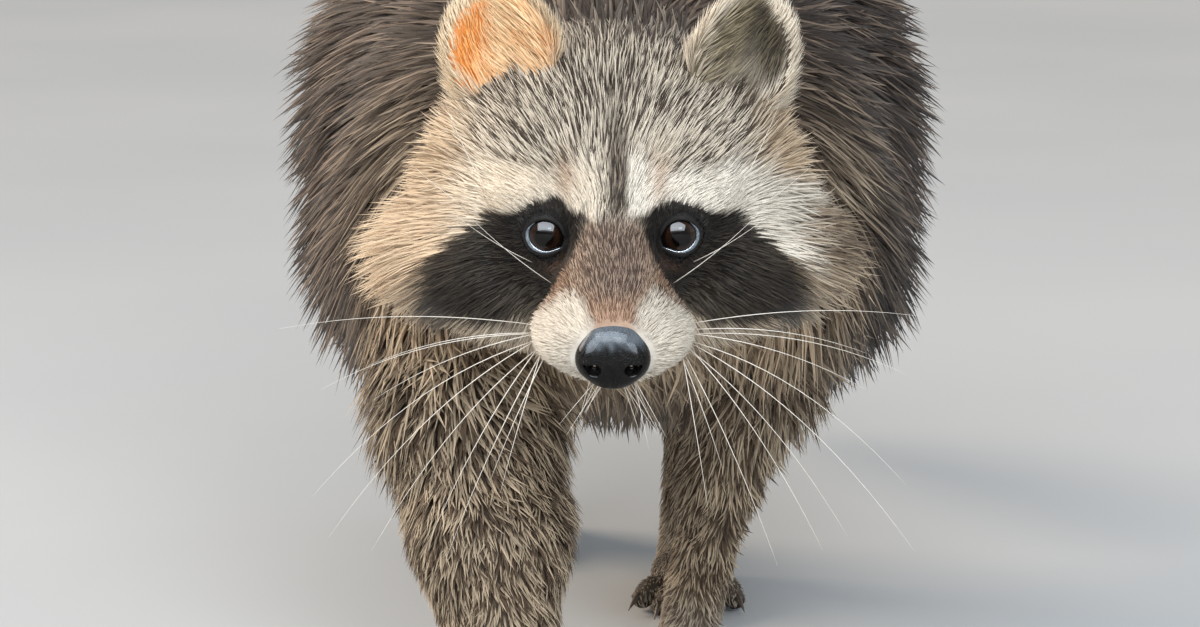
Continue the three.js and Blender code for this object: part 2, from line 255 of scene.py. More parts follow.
# the closed mouth, from under the nose back to a corner below each eye
lip_line = paired(chain([(0, -53, -29.5), (1, -51, -32), (8, -46, -35.6), (14, -36, -36.4),
                         (18, -22, -35.8), (21, -8, -33.4)], [0] * 6, 0.1))
NOSE_AT = np.array([0, -MUZZLE_LENGTH, -NOSE_DROP])


def near_nose(x, y, z):
    """A place given from the middle of the nose leather."""
    return NOSE_AT + np.array([x, y, z])


nostrils = paired(blend(
    0.8,
    mass(near_nose(6.2, -7.0, -2.6), (2.3, 3.8, 2.2)),
    limb(near_nose(7.4, -6.7, -2.2), 1.2, near_nose(10.6, -3.6, 0.8), 0.5),
))
nose_groove = limb(near_nose(0, -8.9, 2.5), 0.4, near_nose(0, -6.6, -10), 0.8)
nose_body = dented(1.1, blend(
    3.0,
    mass(near_nose(0, 0, 0), (11.0, 7.4, 9.4)),
    mass(near_nose(0, 1.8, 5.8), (8.8, 6.4, 5.2)),
    paired(mass(near_nose(7.2, -1.8, -0.8), (4.8, 5.2, 6.2))),
    mass(near_nose(0, -2.2, -6.2), (7.4, 4.7, 4.6)),
), nose_groove)
nose_field = dented(0.9, nose_body, nostrils)


def head_skin(p):
    """The head without ears and lids, with sunk eyes and a closed mouth."""
    q = to_head(p)
    bare = dented(3, lambda t: head_outline(t) + head_coat(t), eye_dents)
    return dented(1.2, bare, lambda t: lip_line(t) - 0.7)(q)


trunk_outline = blend(
    34,
    girth(152, 196, 170, 114, 302),
    girth(250, 252, 250, 98, 326),
    girth(345, 234, 196, 106, 334),
    paired(mass((50, 246, 160), (74, 116, 66))),               # flanks hang full
)
neck_skin = limb((0, 64, 204), 45, (0, 130, 208), 60)
trunk_skin = blend(
    30,
    lambda p: trunk_outline(p) + TRUNK_COAT,
    limb((0, 146, 208), 64, (0, 240, 212), 84),
    limb((0, 240, 212), 84, (0, 342, 221), 86),
)


def leg_skin(leg):
    """A leg without its paw, inside by the depth of its coat."""
    radii = [radius - coat for radius, coat in zip(leg["radii"], LEG_COAT)]
    return chain(leg["joints"], radii, 10)


def toe_rows(leg):
    """Where each toe starts, its length and how far it turns from straight ahead."""
    paw = leg["paw"]
    width, length = paw["palm"]
    for across in np.linspace(-1, 1, 5):
        root = np.array([paw["at"][0] + across * (width - 5),
                         paw["at"][1] - length * (0.66 - 0.3 * across ** 2),
                         TOE_RADIUS - 0.6])
        turn = math.radians(across * 26 + paw["turn"] * leg["side"])
        yield root, paw["toe"] * (1 - 0.22 * across ** 2), turn


def paw_skin(leg):
    """The palm and five toes, flat below."""
    paw = leg["paw"]
    width, length = paw["palm"]
    fields = [mass((*paw["at"], SOLE_HEIGHT - 1.5), (width - 1, length - 1, SOLE_HEIGHT + 4))]
    for root, size, turn in toe_rows(leg):
        ahead = np.array([math.sin(turn), -math.cos(turn), 0])
        knuckle = root + ahead * size * 0.45 + np.array([0, 0, 1.6])
        fields.append(chain([root, knuckle, root + ahead * size], [4.6, 5.2, 4.3], 2))
    whole = blend(2.2, *fields)
    return lambda p: np.maximum(whole(p), 0.4 - p[..., 2])


tail_skin = chain(TAIL_LINE, [TAIL_WIDTH / 2 * share - coat
                              for share, coat in zip(TAIL_SHARES, TAIL_COAT)], 8)
# how far out and up an ear's middle is, and the degrees it leans and turns outwards
EARS = {
    "right": dict(side=-1, out=37.5, up=43, lean=8, turn=14),
    "left": dict(side=1, out=44, up=40, lean=12, turn=24),
}
EAR_SIZE = (44, 19, 50)
EAR_BACK, EAR_TILT = 52, -8         # how far behind the eyes it stands, and its tilt


def from_ear_middle(local):
    """0 at the middle of an ear seen from in front, about 1 at its rim."""
    return np.hypot(local[:, 0] / (EAR_SIZE[0] / 2), local[:, 2] / (EAR_SIZE[2] / 2))


def turned(axis, degrees):
    """The matrix of a turn about one axis."""
    c, s = math.cos(math.radians(degrees)), math.sin(math.radians(degrees))
    i, j = [(1, 2), (2, 0), (0, 1)][axis]
    matrix = np.eye(3)
    matrix[i, i], matrix[i, j], matrix[j, i], matrix[j, j] = c, -s, s, c
    return matrix


def ear_frame(ear):
    """The turn and place of an ear in the head's frame."""
    side = ear["side"]
    turn = turned(1, side * ear["lean"]) @ turned(2, side * ear["turn"])
    return turn @ turned(0, EAR_TILT), np.array([side * ear["out"], EAR_BACK, ear["up"]])


def ear_skin(ear):
    """A cupped leaf of skin, thin at the rim and open to the front."""
    width, depth, height = (size / 2 - 2.2 for size in EAR_SIZE)
    turn, at = ear_frame(ear)
    outer = mass((0, 0, 0), (width, depth, height))
    hollow = mass((0, -depth + 0.5, 1.5), (width - 3.2, depth + 0.5, height - 3.5))

    def field(p):
        q = (to_head(p) - at) @ turn
        return dented(2.0, outer, hollow)(q)
    return field


def body_skin():
    """The whole skin but the lids."""
    legs = [leg_skin(leg) for leg in LEGS.values()]
    paws = [paw_skin(leg) for leg in LEGS.values()]
    torso = blend(26, head_skin, neck_skin, trunk_skin, *legs)
    fine = blend(6, torso, tail_skin, *paws)
    return blend(5, fine, *[ear_skin(ear) for ear in EARS.values()])


skin_field = body_skin()


def slope(field, p, step=0.25):
    """A field's gradient."""
    parts = [field(p + step * e) - field(p - step * e) for e in np.eye(3)]
    return np.stack(parts, -1) / (2 * step)


def drawn_to(field, p, rounds=3, most=3.0):
    """Places moved onto a field's outline."""
    for _ in range(rounds):
        g = slope(field, p)
        step = field(p)[:, None] * g / np.maximum((g * g).sum(-1, keepdims=True), 0.05)
        size = np.linalg.norm(step, axis=-1, keepdims=True)
        p = p - step * np.minimum(1, most / np.maximum(size, 1e-9))
    return p


COARSE = 4          # cells across a block that is looked at first


def wrapped(field, low, high, step):
    """A quad mesh over a field's outline: one place in each cell that it crosses."""
    counts = np.ceil((high - low) / step).astype(int) + 1
    blocks = np.ceil(counts / COARSE).astype(int) + 1
    grid = np.stack(np.meshgrid(*[np.arange(n) for n in blocks], indexing="ij"), -1)
    far = field(low + (grid + 0.5) * COARSE * step)
    values = far
    for axis in range(3):
        values = np.repeat(values, COARSE, axis)
    near = np.abs(values) < COARSE * step * 1.6
    index = np.argwhere(near)
    values[near] = field(low + index * step)
    inside = values < 0
    shape = np.array(values.shape) - 1
    sides = sum(inside[tuple(slice(c, n + c) for c, n in zip(corner, shape))].astype(np.int8)
                for corner in np.ndindex(2, 2, 2))
    crossed = (sides > 0) & (sides < 8)
    number = np.full(crossed.shape, -1)
    number[crossed] = np.arange(crossed.sum())
    places = low + (np.argwhere(crossed) + 0.5) * step
    quads = []
    for axis in range(3):
        b, c = (axis + 1) % 3, (axis + 2) % 3
        here = [slice(0, n) for n in shape]
        there = list(here)
        there[axis] = slice(1, shape[axis] + 1)
        change = inside[tuple(here)].astype(np.int8) - inside[tuple(there)]
        for way in (1, -1):
            edge = np.argwhere(change == way)
            edge = edge[(edge[:, b] > 0) & (edge[:, c] > 0)]
            ring = []
            for back in ((1, 1), (0, 1), (0, 0), (1, 0))[::way]:
                cell = edge.copy()
                cell[:, [b, c]] -= back
                ring.append(number[tuple(cell.T)])
            quads.append(np.stack(ring, -1))
    return places, np.concatenate(quads)


# ------------------------------------------------------------------ making pieces

def smooth(mesh):
    mesh.polygons.foreach_set("use_smooth", np.ones(len(mesh.polygons), bool))


def linked(name, data):
    """A new object in the scene."""
    made = bpy.data.objects.new(name, data)
    bpy.context.scene.collection.objects.link(made)
    return made


def piece(name, places, corners, sizes):
    """A smooth-shaded mesh object. corners are vertex numbers, sizes the faces' counts."""
    mesh = bpy.data.meshes.new(name)
    mesh.vertices.add(len(places))
    mesh.vertices.foreach_set("co", to_frame(places).astype(np.float32).ravel())
    mesh.loops.add(len(corners))
    mesh.loops.foreach_set("vertex_index", np.asarray(corners, np.int32))
    mesh.polygons.add(len(sizes))
    starts = np.concatenate([[0], np.cumsum(sizes)[:-1]]).astype(np.int32)
    mesh.polygons.foreach_set("loop_start", starts)
    smooth(mesh)
    mesh.update(calc_edges=True)
    mesh.validate()
    return linked(name, mesh)


def joined(*groups):
    """Corners and face sizes of groups of faces. A group has a row for each face."""
    return (np.concatenate([group.ravel() for group in groups]),
            np.concatenate([np.full(len(group), group.shape[1]) for group in groups]))


def coloured(made, colours):
    """Stores one linear colour for each vertex."""
    layer = made.data.color_attributes.new("coat", "FLOAT_COLOR", "POINT")
    full = np.ones((len(colours), 4), np.float32)
    full[:, :3] = colours
    layer.data.foreach_set("color", full.ravel())


def finished(made, slot, *finishes):
    """Gives a piece its finishes and its place in the frame."""
    for finish in finishes:
        made.data.materials.append(finish.material)
    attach(made, "root")
    return made


# ------------------------------------------------------------------ finishes

class Value:
    """A node's output. Arithmetic on it adds Math nodes."""

    def __init__(self, finish, node, socket):
        self.finish, self.node, self.socket = finish, node, socket

    def of(self, name):
        return Value(self.finish, self.node, self.node.outputs[name])

    def math(self, operation, *terms):
        return self.finish.node("Math", {"operation": operation}, dict(enumerate(terms)))

    def __add__(self, other):
        return self.math("ADD", self, other)

    def __rsub__(self, other):
        return self.math("SUBTRACT", other, self)

    def __mul__(self, other):
        return self.math("MULTIPLY", self, other)

    __radd__ = __add__
    __rmul__ = __mul__

    def between(self, low, high):
        """0 at low and 1 at high, eased."""
        return self.finish.node("MapRange", {"interpolation_type": "SMOOTHSTEP"},
                                {"Value": self, "From Min": low, "From Max": high})


class Finish:
    """A material on one Principled shader, whose constants are its own sockets."""

    def __init__(self, name, **constants):
        self.material = bpy.data.materials.new(name)
        self.material.use_nodes = True
        self.nodes = self.material.node_tree.nodes
        self.links = self.material.node_tree.links
        self.shader = self.nodes["Principled BSDF"]
        for key, value in constants.items():
            self.shader.inputs[key.replace("_", " ")].default_value = value

    def feed(self, socket, value):
        if isinstance(value, Value):
            self.links.new(value.socket, socket)
        else:
            socket.default_value = value

    def node(self, kind, settings=None, inputs=None):
        made = self.nodes.new("ShaderNode" + kind)
        for key, value in (settings or {}).items():
            setattr(made, key, value)
        for key, value in (inputs or {}).items():
            self.feed(made.inputs[key], value)
        return Value(self, made, made.outputs[0])

    def place(self):
        return self.node("TexCoord").of("Object")

    def noise(self, scale, detail=3.0, where=None):
        return self.node("TexNoise", None, {"Vector": where or self.place(),
                                            "Scale": scale, "Detail": detail})

    def cells(self, scale):
        """0 on the cracks between cells, rising inwards."""
        return self.node("TexVoronoi", {"feature": "DISTANCE_TO_EDGE"},
                         {"Vector": self.place(), "Scale": scale})

    def mix(self, share, first, second, way="MIX"):
        mixed = self.node("Mix", {"data_type": "RGBA", "blend_type": way},
                          {0: share, 6: first, 7: second})
        return Value(self, mixed.node, mixed.node.outputs[2])

    def painted(self):
        return self.node("Attribute", {"attribute_name": "coat"}).of("Color")

    def times(self, colour, factors):
        return self.mix(1.0, colour, (*factors, 1), "MULTIPLY")

    def colour(self, value):
        self.feed(self.shader.inputs["Base Color"], value)
        return self

    def speckled(self, share, factors):
        """The painted colour, multiplied by the factors where the share says."""
        painted = self.painted()
        return self.colour(self.mix(share, painted, self.times(painted, factors)))

    def rough(self, value):
        self.feed(self.shader.inputs["Roughness"], value)
        return self

    def bumped(self, height, strength, distance):
        bump = self.node("Bump", None, {"Height": height, "Strength": strength,
                                        "Distance": distance})
        self.feed(self.shader.inputs["Normal"], bump)
        return self


def tone(red, green, blue):
    """A paint chart's 0-255 colour as linear light."""
    c = np.array([red, green, blue], F) / 255
    return np.where(c < 0.04045, c / 12.92, ((c + 0.055) / 1.055) ** 2.4)


def flat(red, green, blue):
    """A paint chart's colour for a colour socket."""
    return (*tone(red, green, blue), 1)


STRANDS = 3.2       # fine hairs across one tuft
PATCH = 0.003       # size of a tuft's patch on the coat's colour map


def coat_finish(name, roughness, gloss, sheen, ticks):
    """Hair: its painted colour broken by fine streaks, with so many ticks along a tuft."""
    fur = Finish(name, Roughness=roughness, Specular_IOR_Level=gloss,
                 Sheen_Weight=sheen, Sheen_Roughness=0.5)
    tuft = fur.node("UVMap", {"uv_map": "OFBake"})
    along = fur.node("VectorMath", {"operation": "MULTIPLY"},
                     {0: tuft, 1: (STRANDS / PATCH, ticks / PATCH, 0)})
    strands = fur.noise(1.0, 1, along).between(0.34, 0.66)
    patches = fur.noise(70, 3).between(0.3, 0.7) * 0.14
    painted = fur.painted()
    darker = fur.times(painted, (0.42, 0.39, 0.36))
    lighter = fur.times(painted, (1.2, 1.19, 1.17))
    return fur.colour(fur.mix(patches + (1 - strands) * 0.62, lighter, darker))


def skin_finish():
    """Skin under the coat, bare on the soles and at the lids' edges."""
    skin = Finish("skin", Specular_IOR_Level=0.35)
    creases = skin.cells(2600).between(0.0, 0.25)
    mottle = skin.noise(260, 4).between(0.35, 0.7)
    # the darker mottle is partly the skin's own mottling and partly painted shade deep in the
    # coat
    skin.speckled(mottle * 0.5, (0.6, 0.55, 0.52))
    skin.rough(0.5 + mottle * 0.2)
    return skin.bumped(creases + mottle * 0.6, 0.3, 0.00015)


WATER = 1.33             # how strongly a wet film bends light


def nose_finish():
    """Damp leather, pebbled and mottled."""
    nose = Finish("nose_leather", Coat_Weight=0.42, Coat_Roughness=0.1,
                  Coat_IOR=WATER, Specular_IOR_Level=0.04)
    pebbles = nose.cells(1300).between(0.0, 0.22)
    mottle = nose.noise(420, 4).between(0.35, 0.75)
    nose.colour(nose.mix(mottle * 0.4, nose.painted(), flat(34, 28, 26)))
    nose.rough(0.34 + mottle * 0.14)
    return nose.bumped(pebbles + mottle * 0.3, 0.55, 0.00025)


def eye_finish():
    """A dark brown iris with fine spokes under a clear wet dome."""
    eye = Finish("eye", Roughness=0.3, Coat_Weight=1.0, Coat_Roughness=0.015,
                 Coat_IOR=WATER, Specular_IOR_Level=0.0)
    spokes = eye.noise(1500, 3).between(0.3, 0.7)
    return eye.speckled(spokes * 0.6, (1.9, 1.6, 1.3))


def tear_finish():
    """The wet pale rim below the eye, its blue-white partly a painted reflection of the sky."""
    tear = Finish("tear_rim", Roughness=0.12, Coat_Weight=1.0, Coat_Roughness=0.03)
    mottled_sheen = tear.noise(900, 2).between(0.3, 0.7)
    return tear.colour(tear.mix(mottled_sheen, flat(78, 90, 100), flat(118, 130, 140)))


def claw_finish():
    """Dark horn, paler and worn towards the point, with fine length lines."""
    claw = Finish("claw_horn", Coat_Weight=0.25, Coat_Roughness=0.25)
    lines = claw.noise(1100, 3).between(0.3, 0.7)
    claw.speckled(lines * 0.5, (1.7, 1.6, 1.5))
    claw.rough(0.32 + lines * 0.16)
    return claw.bumped(lines, 0.3, 0.0002)


def whisker_finish():
    """Stiff white hair with a fine grain."""
    whisker = Finish("whisker", Roughness=0.35, Specular_IOR_Level=0.5)
    grain = whisker.noise(400, 2).between(0.3, 0.7)
    return whisker.speckled(grain * 0.5, (0.8, 0.78, 0.74))


# ------------------------------------------------------------------ markings
# Each hair has three tones: under, middle and tip. Skin shows the under tones.

FACE_LOOK = math.radians(27)    # the face is drawn as seen from this far above its axis


def face_up(q):
    """Height on the drawn face."""
    return q[..., 2] * math.cos(FACE_LOOK) + q[..., 1] * math.sin(FACE_LOOK)


def along_curve(x, *knots):
    """A line through a few knots, softened between them."""
    xs, ys = zip(*knots)
    reach = 1.6
    return sum(np.interp(x + s * reach, xs, ys) for s in (-1, -0.5, 0, 0.5, 1)) / 5


def paint(colour):
    """A paint chart's colour as linear light. Linear light stays as it is."""
    return tone(*colour) if isinstance(colour, tuple) else colour


def grizzled(chance, share, pale, dark):
    """Tips of which a share are pale."""
    light = ease(share + 0.06, share - 0.06, chance)[:, None]
    return paint(dark) * (1 - light) + paint(pale) * light


class Tones:
    """Three tones for each hair, painted in layers. Each hair has its own chance."""

    def __init__(self, chance):
        self.chance = chance
        self.rows = np.zeros((len(chance), 3, 3))

    def layer(self, share, under, middle, tip, dark=None, pale=0.5):
        """Where a dark tip is given too, only the pale share of the tips are as tip says."""
        if dark is not None:
            tip = grizzled(self.chance, pale, tip, dark)
        share = np.broadcast_to(share, self.chance.shape)[:, None, None]
        hair = [np.broadcast_to(paint(part), self.rows[:, 0].shape)
                for part in (under, middle, tip)]
        self.rows += (np.stack(hair, 1) - self.rows) * share


COLLAR = mass((0, 70, 168), (98, 82, 54))      # where pale hair hangs under the cheeks


def body_tones(tones, p, marks):
    """Back and flanks brown-grey and dark-tipped; chest, belly and legs paler and woolly."""
    trunk, leg, paw = marks
    broad_and_shade = waves(p, 70, 5)[:, None]
    # painted shade: the broad waves are darkened over the animal's left flank
    broad_and_shade = broad_and_shade - 0.5 * ease(30, 90, p[:, 0])[:, None]
    back_tips = grizzled(tones.chance, 0.3, (146, 128, 112), (40, 35, 34))
    tones.layer(1, (74, 63, 56), tone(76, 63, 55) * (1 + 0.2 * broad_and_shade),
                back_tips * (1 + 0.16 * broad_and_shade))
    belly = ease(150, 100, p[:, 2]) * ease(96, 60, np.abs(p[:, 0])) * trunk
    tones.layer(0.8 * belly, (104, 92, 80), (134, 120, 104), (176, 164, 146), (96, 84, 74), 0.6)
    front = ease(150, 96, p[:, 1]) * ease(262, 206, p[:, 2])
    woolly = np.clip(leg * ease(172, 140, p[:, 2]) + front * trunk, 0, 1)
    tufty = waves(p, 16, 9)[:, None]
    # painted shade: legs on the animal's left are darkened as if in the body's shadow; the waves
    # add random mottle
    shade_and_mottle = 1 - 0.14 * leg * ease(-10, 10, p[:, 0]) + 0.16 * waves(p, 13, 10)
    woolly_tips = grizzled(tones.chance, 0.58, (198, 182, 158), (74, 59, 46))
    tones.layer(woolly, tone(50, 39, 30) * (1 + 0.3 * tufty), (98, 82, 64),
                woolly_tips * shade_and_mottle[:, None])
    collar = ease(14, -12, COLLAR(p)) * np.clip(trunk + leg, 0, 1)
    collar *= ease(132, 162, p[:, 2])
    tones.layer(0.9 * collar, (106, 89, 71), (176, 152, 125), (228, 207, 178), (112, 93, 74),
                0.78)
    foot = np.clip(ease(46, 20, p[:, 2]) * leg + paw, 0, 1)
    tones.layer(foot, (74, 64, 55), (134, 122, 107), (196, 187, 172), (96, 84, 73), 0.7)


def tail_tones(tones, share, along):
    """Six dark rings and a dark tip on a pale tan tail."""
    rings = np.sin((along * 6.6 - 0.35) * 2 * math.pi + 0.2 * (tones.chance - 0.5))
    dark = np.maximum(ease(-0.25, 0.35, rings), ease(0.9, 0.95, along))
    tones.layer(share, (104, 94, 82), (158, 145, 126), (188, 176, 156))
    tones.layer(share * dark, (44, 38, 34), (40, 34, 31), (34, 30, 28))


def face_tones(tones, q, share):
    """The crown, brow bands, mask, bridge, white muzzle and pale ruff."""
    x = np.abs(q[:, 0] + 0.5 * waves(q, 11, 3))
    v = face_up(q) + 0.8 * waves(q, 7, 4)
    y = q[:, 1]
    ragged = 1.5 * (tones.chance - 0.5)
    left = ease(-10, 10, q[:, 0])

    # grizzled crown and forehead
    pale_tips = lerp(0.72, 0.56, np.maximum(ease(28, 50, v), ease(20, 34, x)))
    tones.layer(share, (46, 39, 35), (112, 101, 90), (242, 233, 216), (46, 40, 36), pale_tips)
    # pale ruff down the cheeks and up to the ears, and its darker fringe
    ruff = ease(42, 58, x) * ease(60, 46, v) * ease(90, 60, y)
    tones.layer(0.9 * share * ruff, (136, 113, 91), (194, 170, 140), (224, 203, 174),
                (124, 102, 82), 0.82)
    # painted light and shade: the fringe is painted paler low on the animal's right cheek as
    # sunlight, and darker and wider on its left cheek as shade
    sunlit_low_ruff = ease(-8, -20, v) * (1 - left)
    fringe = ease(67 - 6 * left, 81 - 6 * left, x) * lerp(0.5, 0.9, left)
    fringe *= 1 - 0.6 * sunlit_low_ruff
    tones.layer(share * fringe, (72, 60, 50), (108, 93, 78), (172, 156, 134), (76, 64, 54), 0.36)
    # brown throat and jaw behind the muzzle
    throat = ease(-24, -34, q[:, 2]) * ease(-14, 2, y)
    tones.layer(0.85 * share * throat, (98, 83, 68), (166, 147, 123), (216, 199, 174),
                (100, 84, 69), 0.66)

    # cream brow bands over the mask, rising as two blazes beside the midline
    top = along_curve(x, (4, 4), (10, 6), (15, 8.7), (20, 8.2), (26, 9.6), (35, 6.4),
                      (43, 8.4), (47, 4), (54, -2), (60, -7), (66, -11), (76, -22))
    over = v - top
    deep = along_curve(x, (0, 6), (5, 22), (11, 20), (16, 11), (24, 11), (40, 17),
                       (56, 24), (70, 34))
    brow = ease(-1, 1.6, over) * ease(deep + 5, deep - 3, over) * ease(3.2, 6.2, x)
    # painted light and shade: the band stops sooner on the animal's left cheek as shade, its
    # cream is brighter on the left, and warm tan at its outer end on the right as sunlight
    brow *= ease(90 - 17 * left, 79 - 17 * left, x)
    sunlit_warmth = (ease(44, 64, x) * (1 - left))[:, None]
    cream = lerp(tone(232, 222, 205), tone(245, 240, 229), left[:, None])
    cream = lerp(cream, tone(218, 196, 168), sunlit_warmth)
    tones.layer(share * brow, 0.5 * cream, 0.84 * cream, cream, 0.28 * cream, 0.9)
    rust = bump_of(x, 15.5, 3.2) * bump_of(v, 19, 8)
    tones.layer(0.6 * share * rust, (120, 92, 74), (150, 116, 92), (186, 154, 126))
    # dark stripe up the midline
    stripe = ease(4.4, 1.8, np.abs(q[:, 0] - 1.8)) * ease(1, 9, v) * ease(56, 24, v)
    tones.layer(0.88 * share * stripe, (48, 42, 38), (68, 60, 54), (164, 152, 136),
                (58, 51, 46), 0.2)

    # bridge of the nose: brown-grey, speckled, warm at its sides
    half = along_curve(v, (-40, 6.5), (-28, 7.2), (-22, 8.6), (-17, 11.5), (-12, 13.5),
                       (-4, 13.2), (4, 10), (14, 3))
    bridge = ease(half + 3.5, half - 3, x + ragged) * ease(9, 1, v) * ease(30, 10, y)
    warm = ease(half - 5, half, x)[:, None]
    tones.layer(share * bridge, (68, 57, 51), lerp(tone(112, 96, 87), tone(144, 114, 93), warm),
                (182, 162, 146), (76, 63, 55), 0.5)
    low_warm = bridge * ease(-17, -27, v)
    tones.layer(0.85 * share * low_warm, (116, 88, 72), (172, 138, 116), (204, 172, 148),
                (126, 97, 80), 0.6)
    tan = ease(half - 3, half + 3, x + ragged) * ease(30, 25, x) * ease(0, -6, v)
    tan = tan * ease(-30, -24, v) * ease(4, -4, y)
    tones.layer(share * tan * ease(30, 10, y), (98, 76, 61), (136, 109, 90), (172, 144, 122),
                (86, 66, 53), 0.5)

    # the mask, from the bridge across each eye to the cheek
    bottom = along_curve(x, (10, -3), (13, -7), (16, -11.5), (19, -16.5), (21, -20),
                         (24, -24.5), (31, -29.5), (46, -30), (58, -26), (66, -21))
    mask = ease(0.9, -0.9, over) * ease(bottom - 1.6, bottom + 1.6, v)
    mask = mask * ease(half - 3.5, half + 2, x) * ease(69, 61, x)
    around = np.hypot(np.abs(q[:, 0]) - EYE_SPACING / 2 - 0.3, v - 0.5)
    mask = np.maximum(mask, ease(12.4, 10, around))
    tones.layer(share * mask, (14, 11, 10), (18, 15, 13), (66, 57, 50), (20, 17, 15), 0.12)
    rusty = bump_of(x, 19, 4) * bump_of(v, -9, 3.5) * mask
    tones.layer(0.35 * share * rusty, (84, 60, 48), (104, 78, 64), (112, 88, 74))

    # white muzzle, lips and chin
    beside = ease(half - 3, half + 3.5, x + ragged)
    beside = beside * ease(bottom + 2, bottom - 2, v + ragged)
    start = along_curve(x, (6, -29), (8, -23), (11, -19.5), (15, -18.5), (19, -21),
                        (23, -24.5), (30, -30))
    white = beside * ease(start + 3, start - 3.5, v + 2 * ragged)
    white = white * np.maximum(ease(-8, -17, y), ease(22, 6, y) * ease(-22, -28, v))
    white = np.maximum(white, ease(-20, -26, y) * ease(-24, -30, q[:, 2]))
    tones.layer(share * white, (168, 158, 144), (204, 197, 184), (226, 220, 209))
    lip = ease(2.4, 0.9, lip_line(q)) * ease(-2, -12, y)
    tones.layer(0.8 * share * lip, (52, 42, 38), (70, 58, 52), (90, 78, 70))


def ear_tones(tones, local, hollow, share, side):
    """Pale fringed ears, dark at the base behind and bare inside, the right ear's inside in a
    painted orange glow of sun shining through it, the left ear's in painted shade.
    """
    reach = from_ear_middle(local)
    tones.layer(share, (170, 152, 128), (226, 212, 188), (250, 243, 230))
    back = share * (1 - hollow) * ease(0.86, 0.56, reach)
    tones.layer(0.75 * back, (56, 48, 42), (84, 74, 64), (170, 156, 136), (70, 60, 52), 0.4)
    sunlit = side < 0
    across = local[:, 0] * side
    edge = lerp(0.94, 0.75, ease(-6, 6, across))
    inside = share * hollow * ease(edge, edge - 0.16, reach)
    outer = ease(*((-3, 12) if sunlit else (-14, 0)), across)
    streaks = np.clip(tones.chance + 0.35 * waves(local * [1, 0, 0.5], 4, 17), 0, 1)
    # painted light and shade: the right ear's hollow gets an orange glow of sun shining through
    # it, the left ear's hollow the dark tones of shade
    if sunlit:
        # painted sunlight: a warm tint over the whole right ear
        tones.rows *= lerp(1, np.array([1.0, 0.9, 0.74]), (0.7 * share)[:, None])[:, None]
        deep, fine = tone(246, 156, 62), tone(252, 204, 140)
        mild, faint = tone(254, 230, 192), tone(230, 186, 136)
    else:
        deep, fine = tone(38, 32, 22), tone(104, 94, 71)
        mild, faint = tone(182, 170, 142), tone(62, 52, 38)
    tones.layer(0.95 * inside, deep * 0.7, deep, grizzled(streaks, 0.42, fine, deep))
    pale = inside * (1 - outer)
    tones.layer(0.9 * pale, mild * 0.5, lerp(faint, mild, 0.6),
                grizzled(streaks, 0.6, mild, faint))


# ------------------------------------------------------------------ lie of the coat

def along_bones(joints, p):
    """How far each place is down a chain of joints, in joints, and the way its bone runs."""
    joints = np.array(joints, F)
    nearest = np.full(len(p), np.inf)
    reach, way = np.zeros(len(p)), np.zeros((len(p), 3))
    for i in range(len(joints) - 1):
        bone = joints[i + 1] - joints[i]
        t = np.clip((p - joints[i]) @ bone / (bone @ bone), 0, 1)
        gap = np.linalg.norm(p - joints[i] - t[:, None] * bone, axis=1)
        closer = gap < nearest
        nearest[closer] = gap[closer]
        reach[closer] = i + t[closer]
        way[closer] = bone / np.linalg.norm(bone)
    return reach, way


LID_MIDDLE = 1.1            # how far outwards and up from the eye its lids' middle is


def from_eye(q):
    """Each place's way from the middle of the nearer lids, seen from in front, and its gap."""
    x = np.abs(q[:, 0]) - EYE_SPACING / 2 - LID_MIDDLE
    away = np.stack([x * np.sign(q[:, 0]), np.zeros(len(q)), q[:, 2] - LID_MIDDLE], 1)
    gap = np.linalg.norm(away, axis=1)
    return away / np.maximum(gap, 0.1)[:, None], gap


def head_flow(q):
    """Away from the nose tip on the muzzle, and from between the eyes behind it."""
    start = lerp(np.array([0, -52, -19.0]), np.array([0, 2, -4.0]),
                 ease(-20, 0, q[:, 1])[:, None])
    flow = unit(q - start)
    flow[:, 1] += 0.45 * ease(0, 40, q[:, 1])
    flow[:, 2] -= 0.55 * (ease(30, 60, np.abs(q[:, 0])) * ease(20, -20, q[:, 2]))
    flow[:, 1] += 0.8 * ease(-20, -38, q[:, 2])
    flow = unit(flow)
    away, gap = from_eye(q)
    around = ease(13, 8.5, gap) * ease(16, 12, q[:, 1])
    return unit(lerp(flow, unit(away + 0.7 * flow), around[:, None]))


def trunk_flow(p, n):
    """Back along the body, down the flanks, the chest and the rump."""
    flow = np.zeros_like(p)
    flow[:, 1] = 1.0 - 0.7 * np.abs(n[:, 1])
    flow[:, 2] = -0.35 * np.abs(n[:, 0]) - 1.1 * np.maximum(-n[:, 1], 0)
    flow[:, 2] -= 0.8 * np.maximum(n[:, 1], 0)
    return unit(flow)


def region_shares(p):
    """How much each place belongs to the head, neck, trunk, legs, paws, tail and ears."""
    head_only = lambda t: head_outline(t) + head_coat(t)
    gaps = {"head": head_only(to_head(p)), "neck": neck_skin(p), "trunk": trunk_skin(p),
            "tail": tail_skin(p) - 1}
    for name, leg in LEGS.items():
        gaps[name] = leg_skin(leg)(p)
        gaps["paw_" + name] = paw_skin(leg)(p) - 0.6
    for name, ear in EARS.items():
        gaps["ear_" + name] = ear_skin(ear)(p) - 0.4
    least = np.min(np.stack(list(gaps.values())), 0)
    soft = {"ear": 1.2, "paw": 2.5, "tail": 3}
    shares = {name: np.exp(-(gap - least) / soft.get(name[:4].strip("_"), 7.0))
              for name, gap in gaps.items()}
    for name in shares:
        if name.startswith("ear"):
            shares[name] = np.where(gaps[name] < 1.5, shares[name], 0)
    total = sum(shares.values())
    shares = {name: share / total for name, share in shares.items()}
    shares["legs"] = sum(shares[name] for name in LEGS)
    shares["paws"] = sum(shares["paw_" + name] for name in LEGS)
    shares["ears"] = sum(shares["ear_" + name] for name in EARS)
    return shares


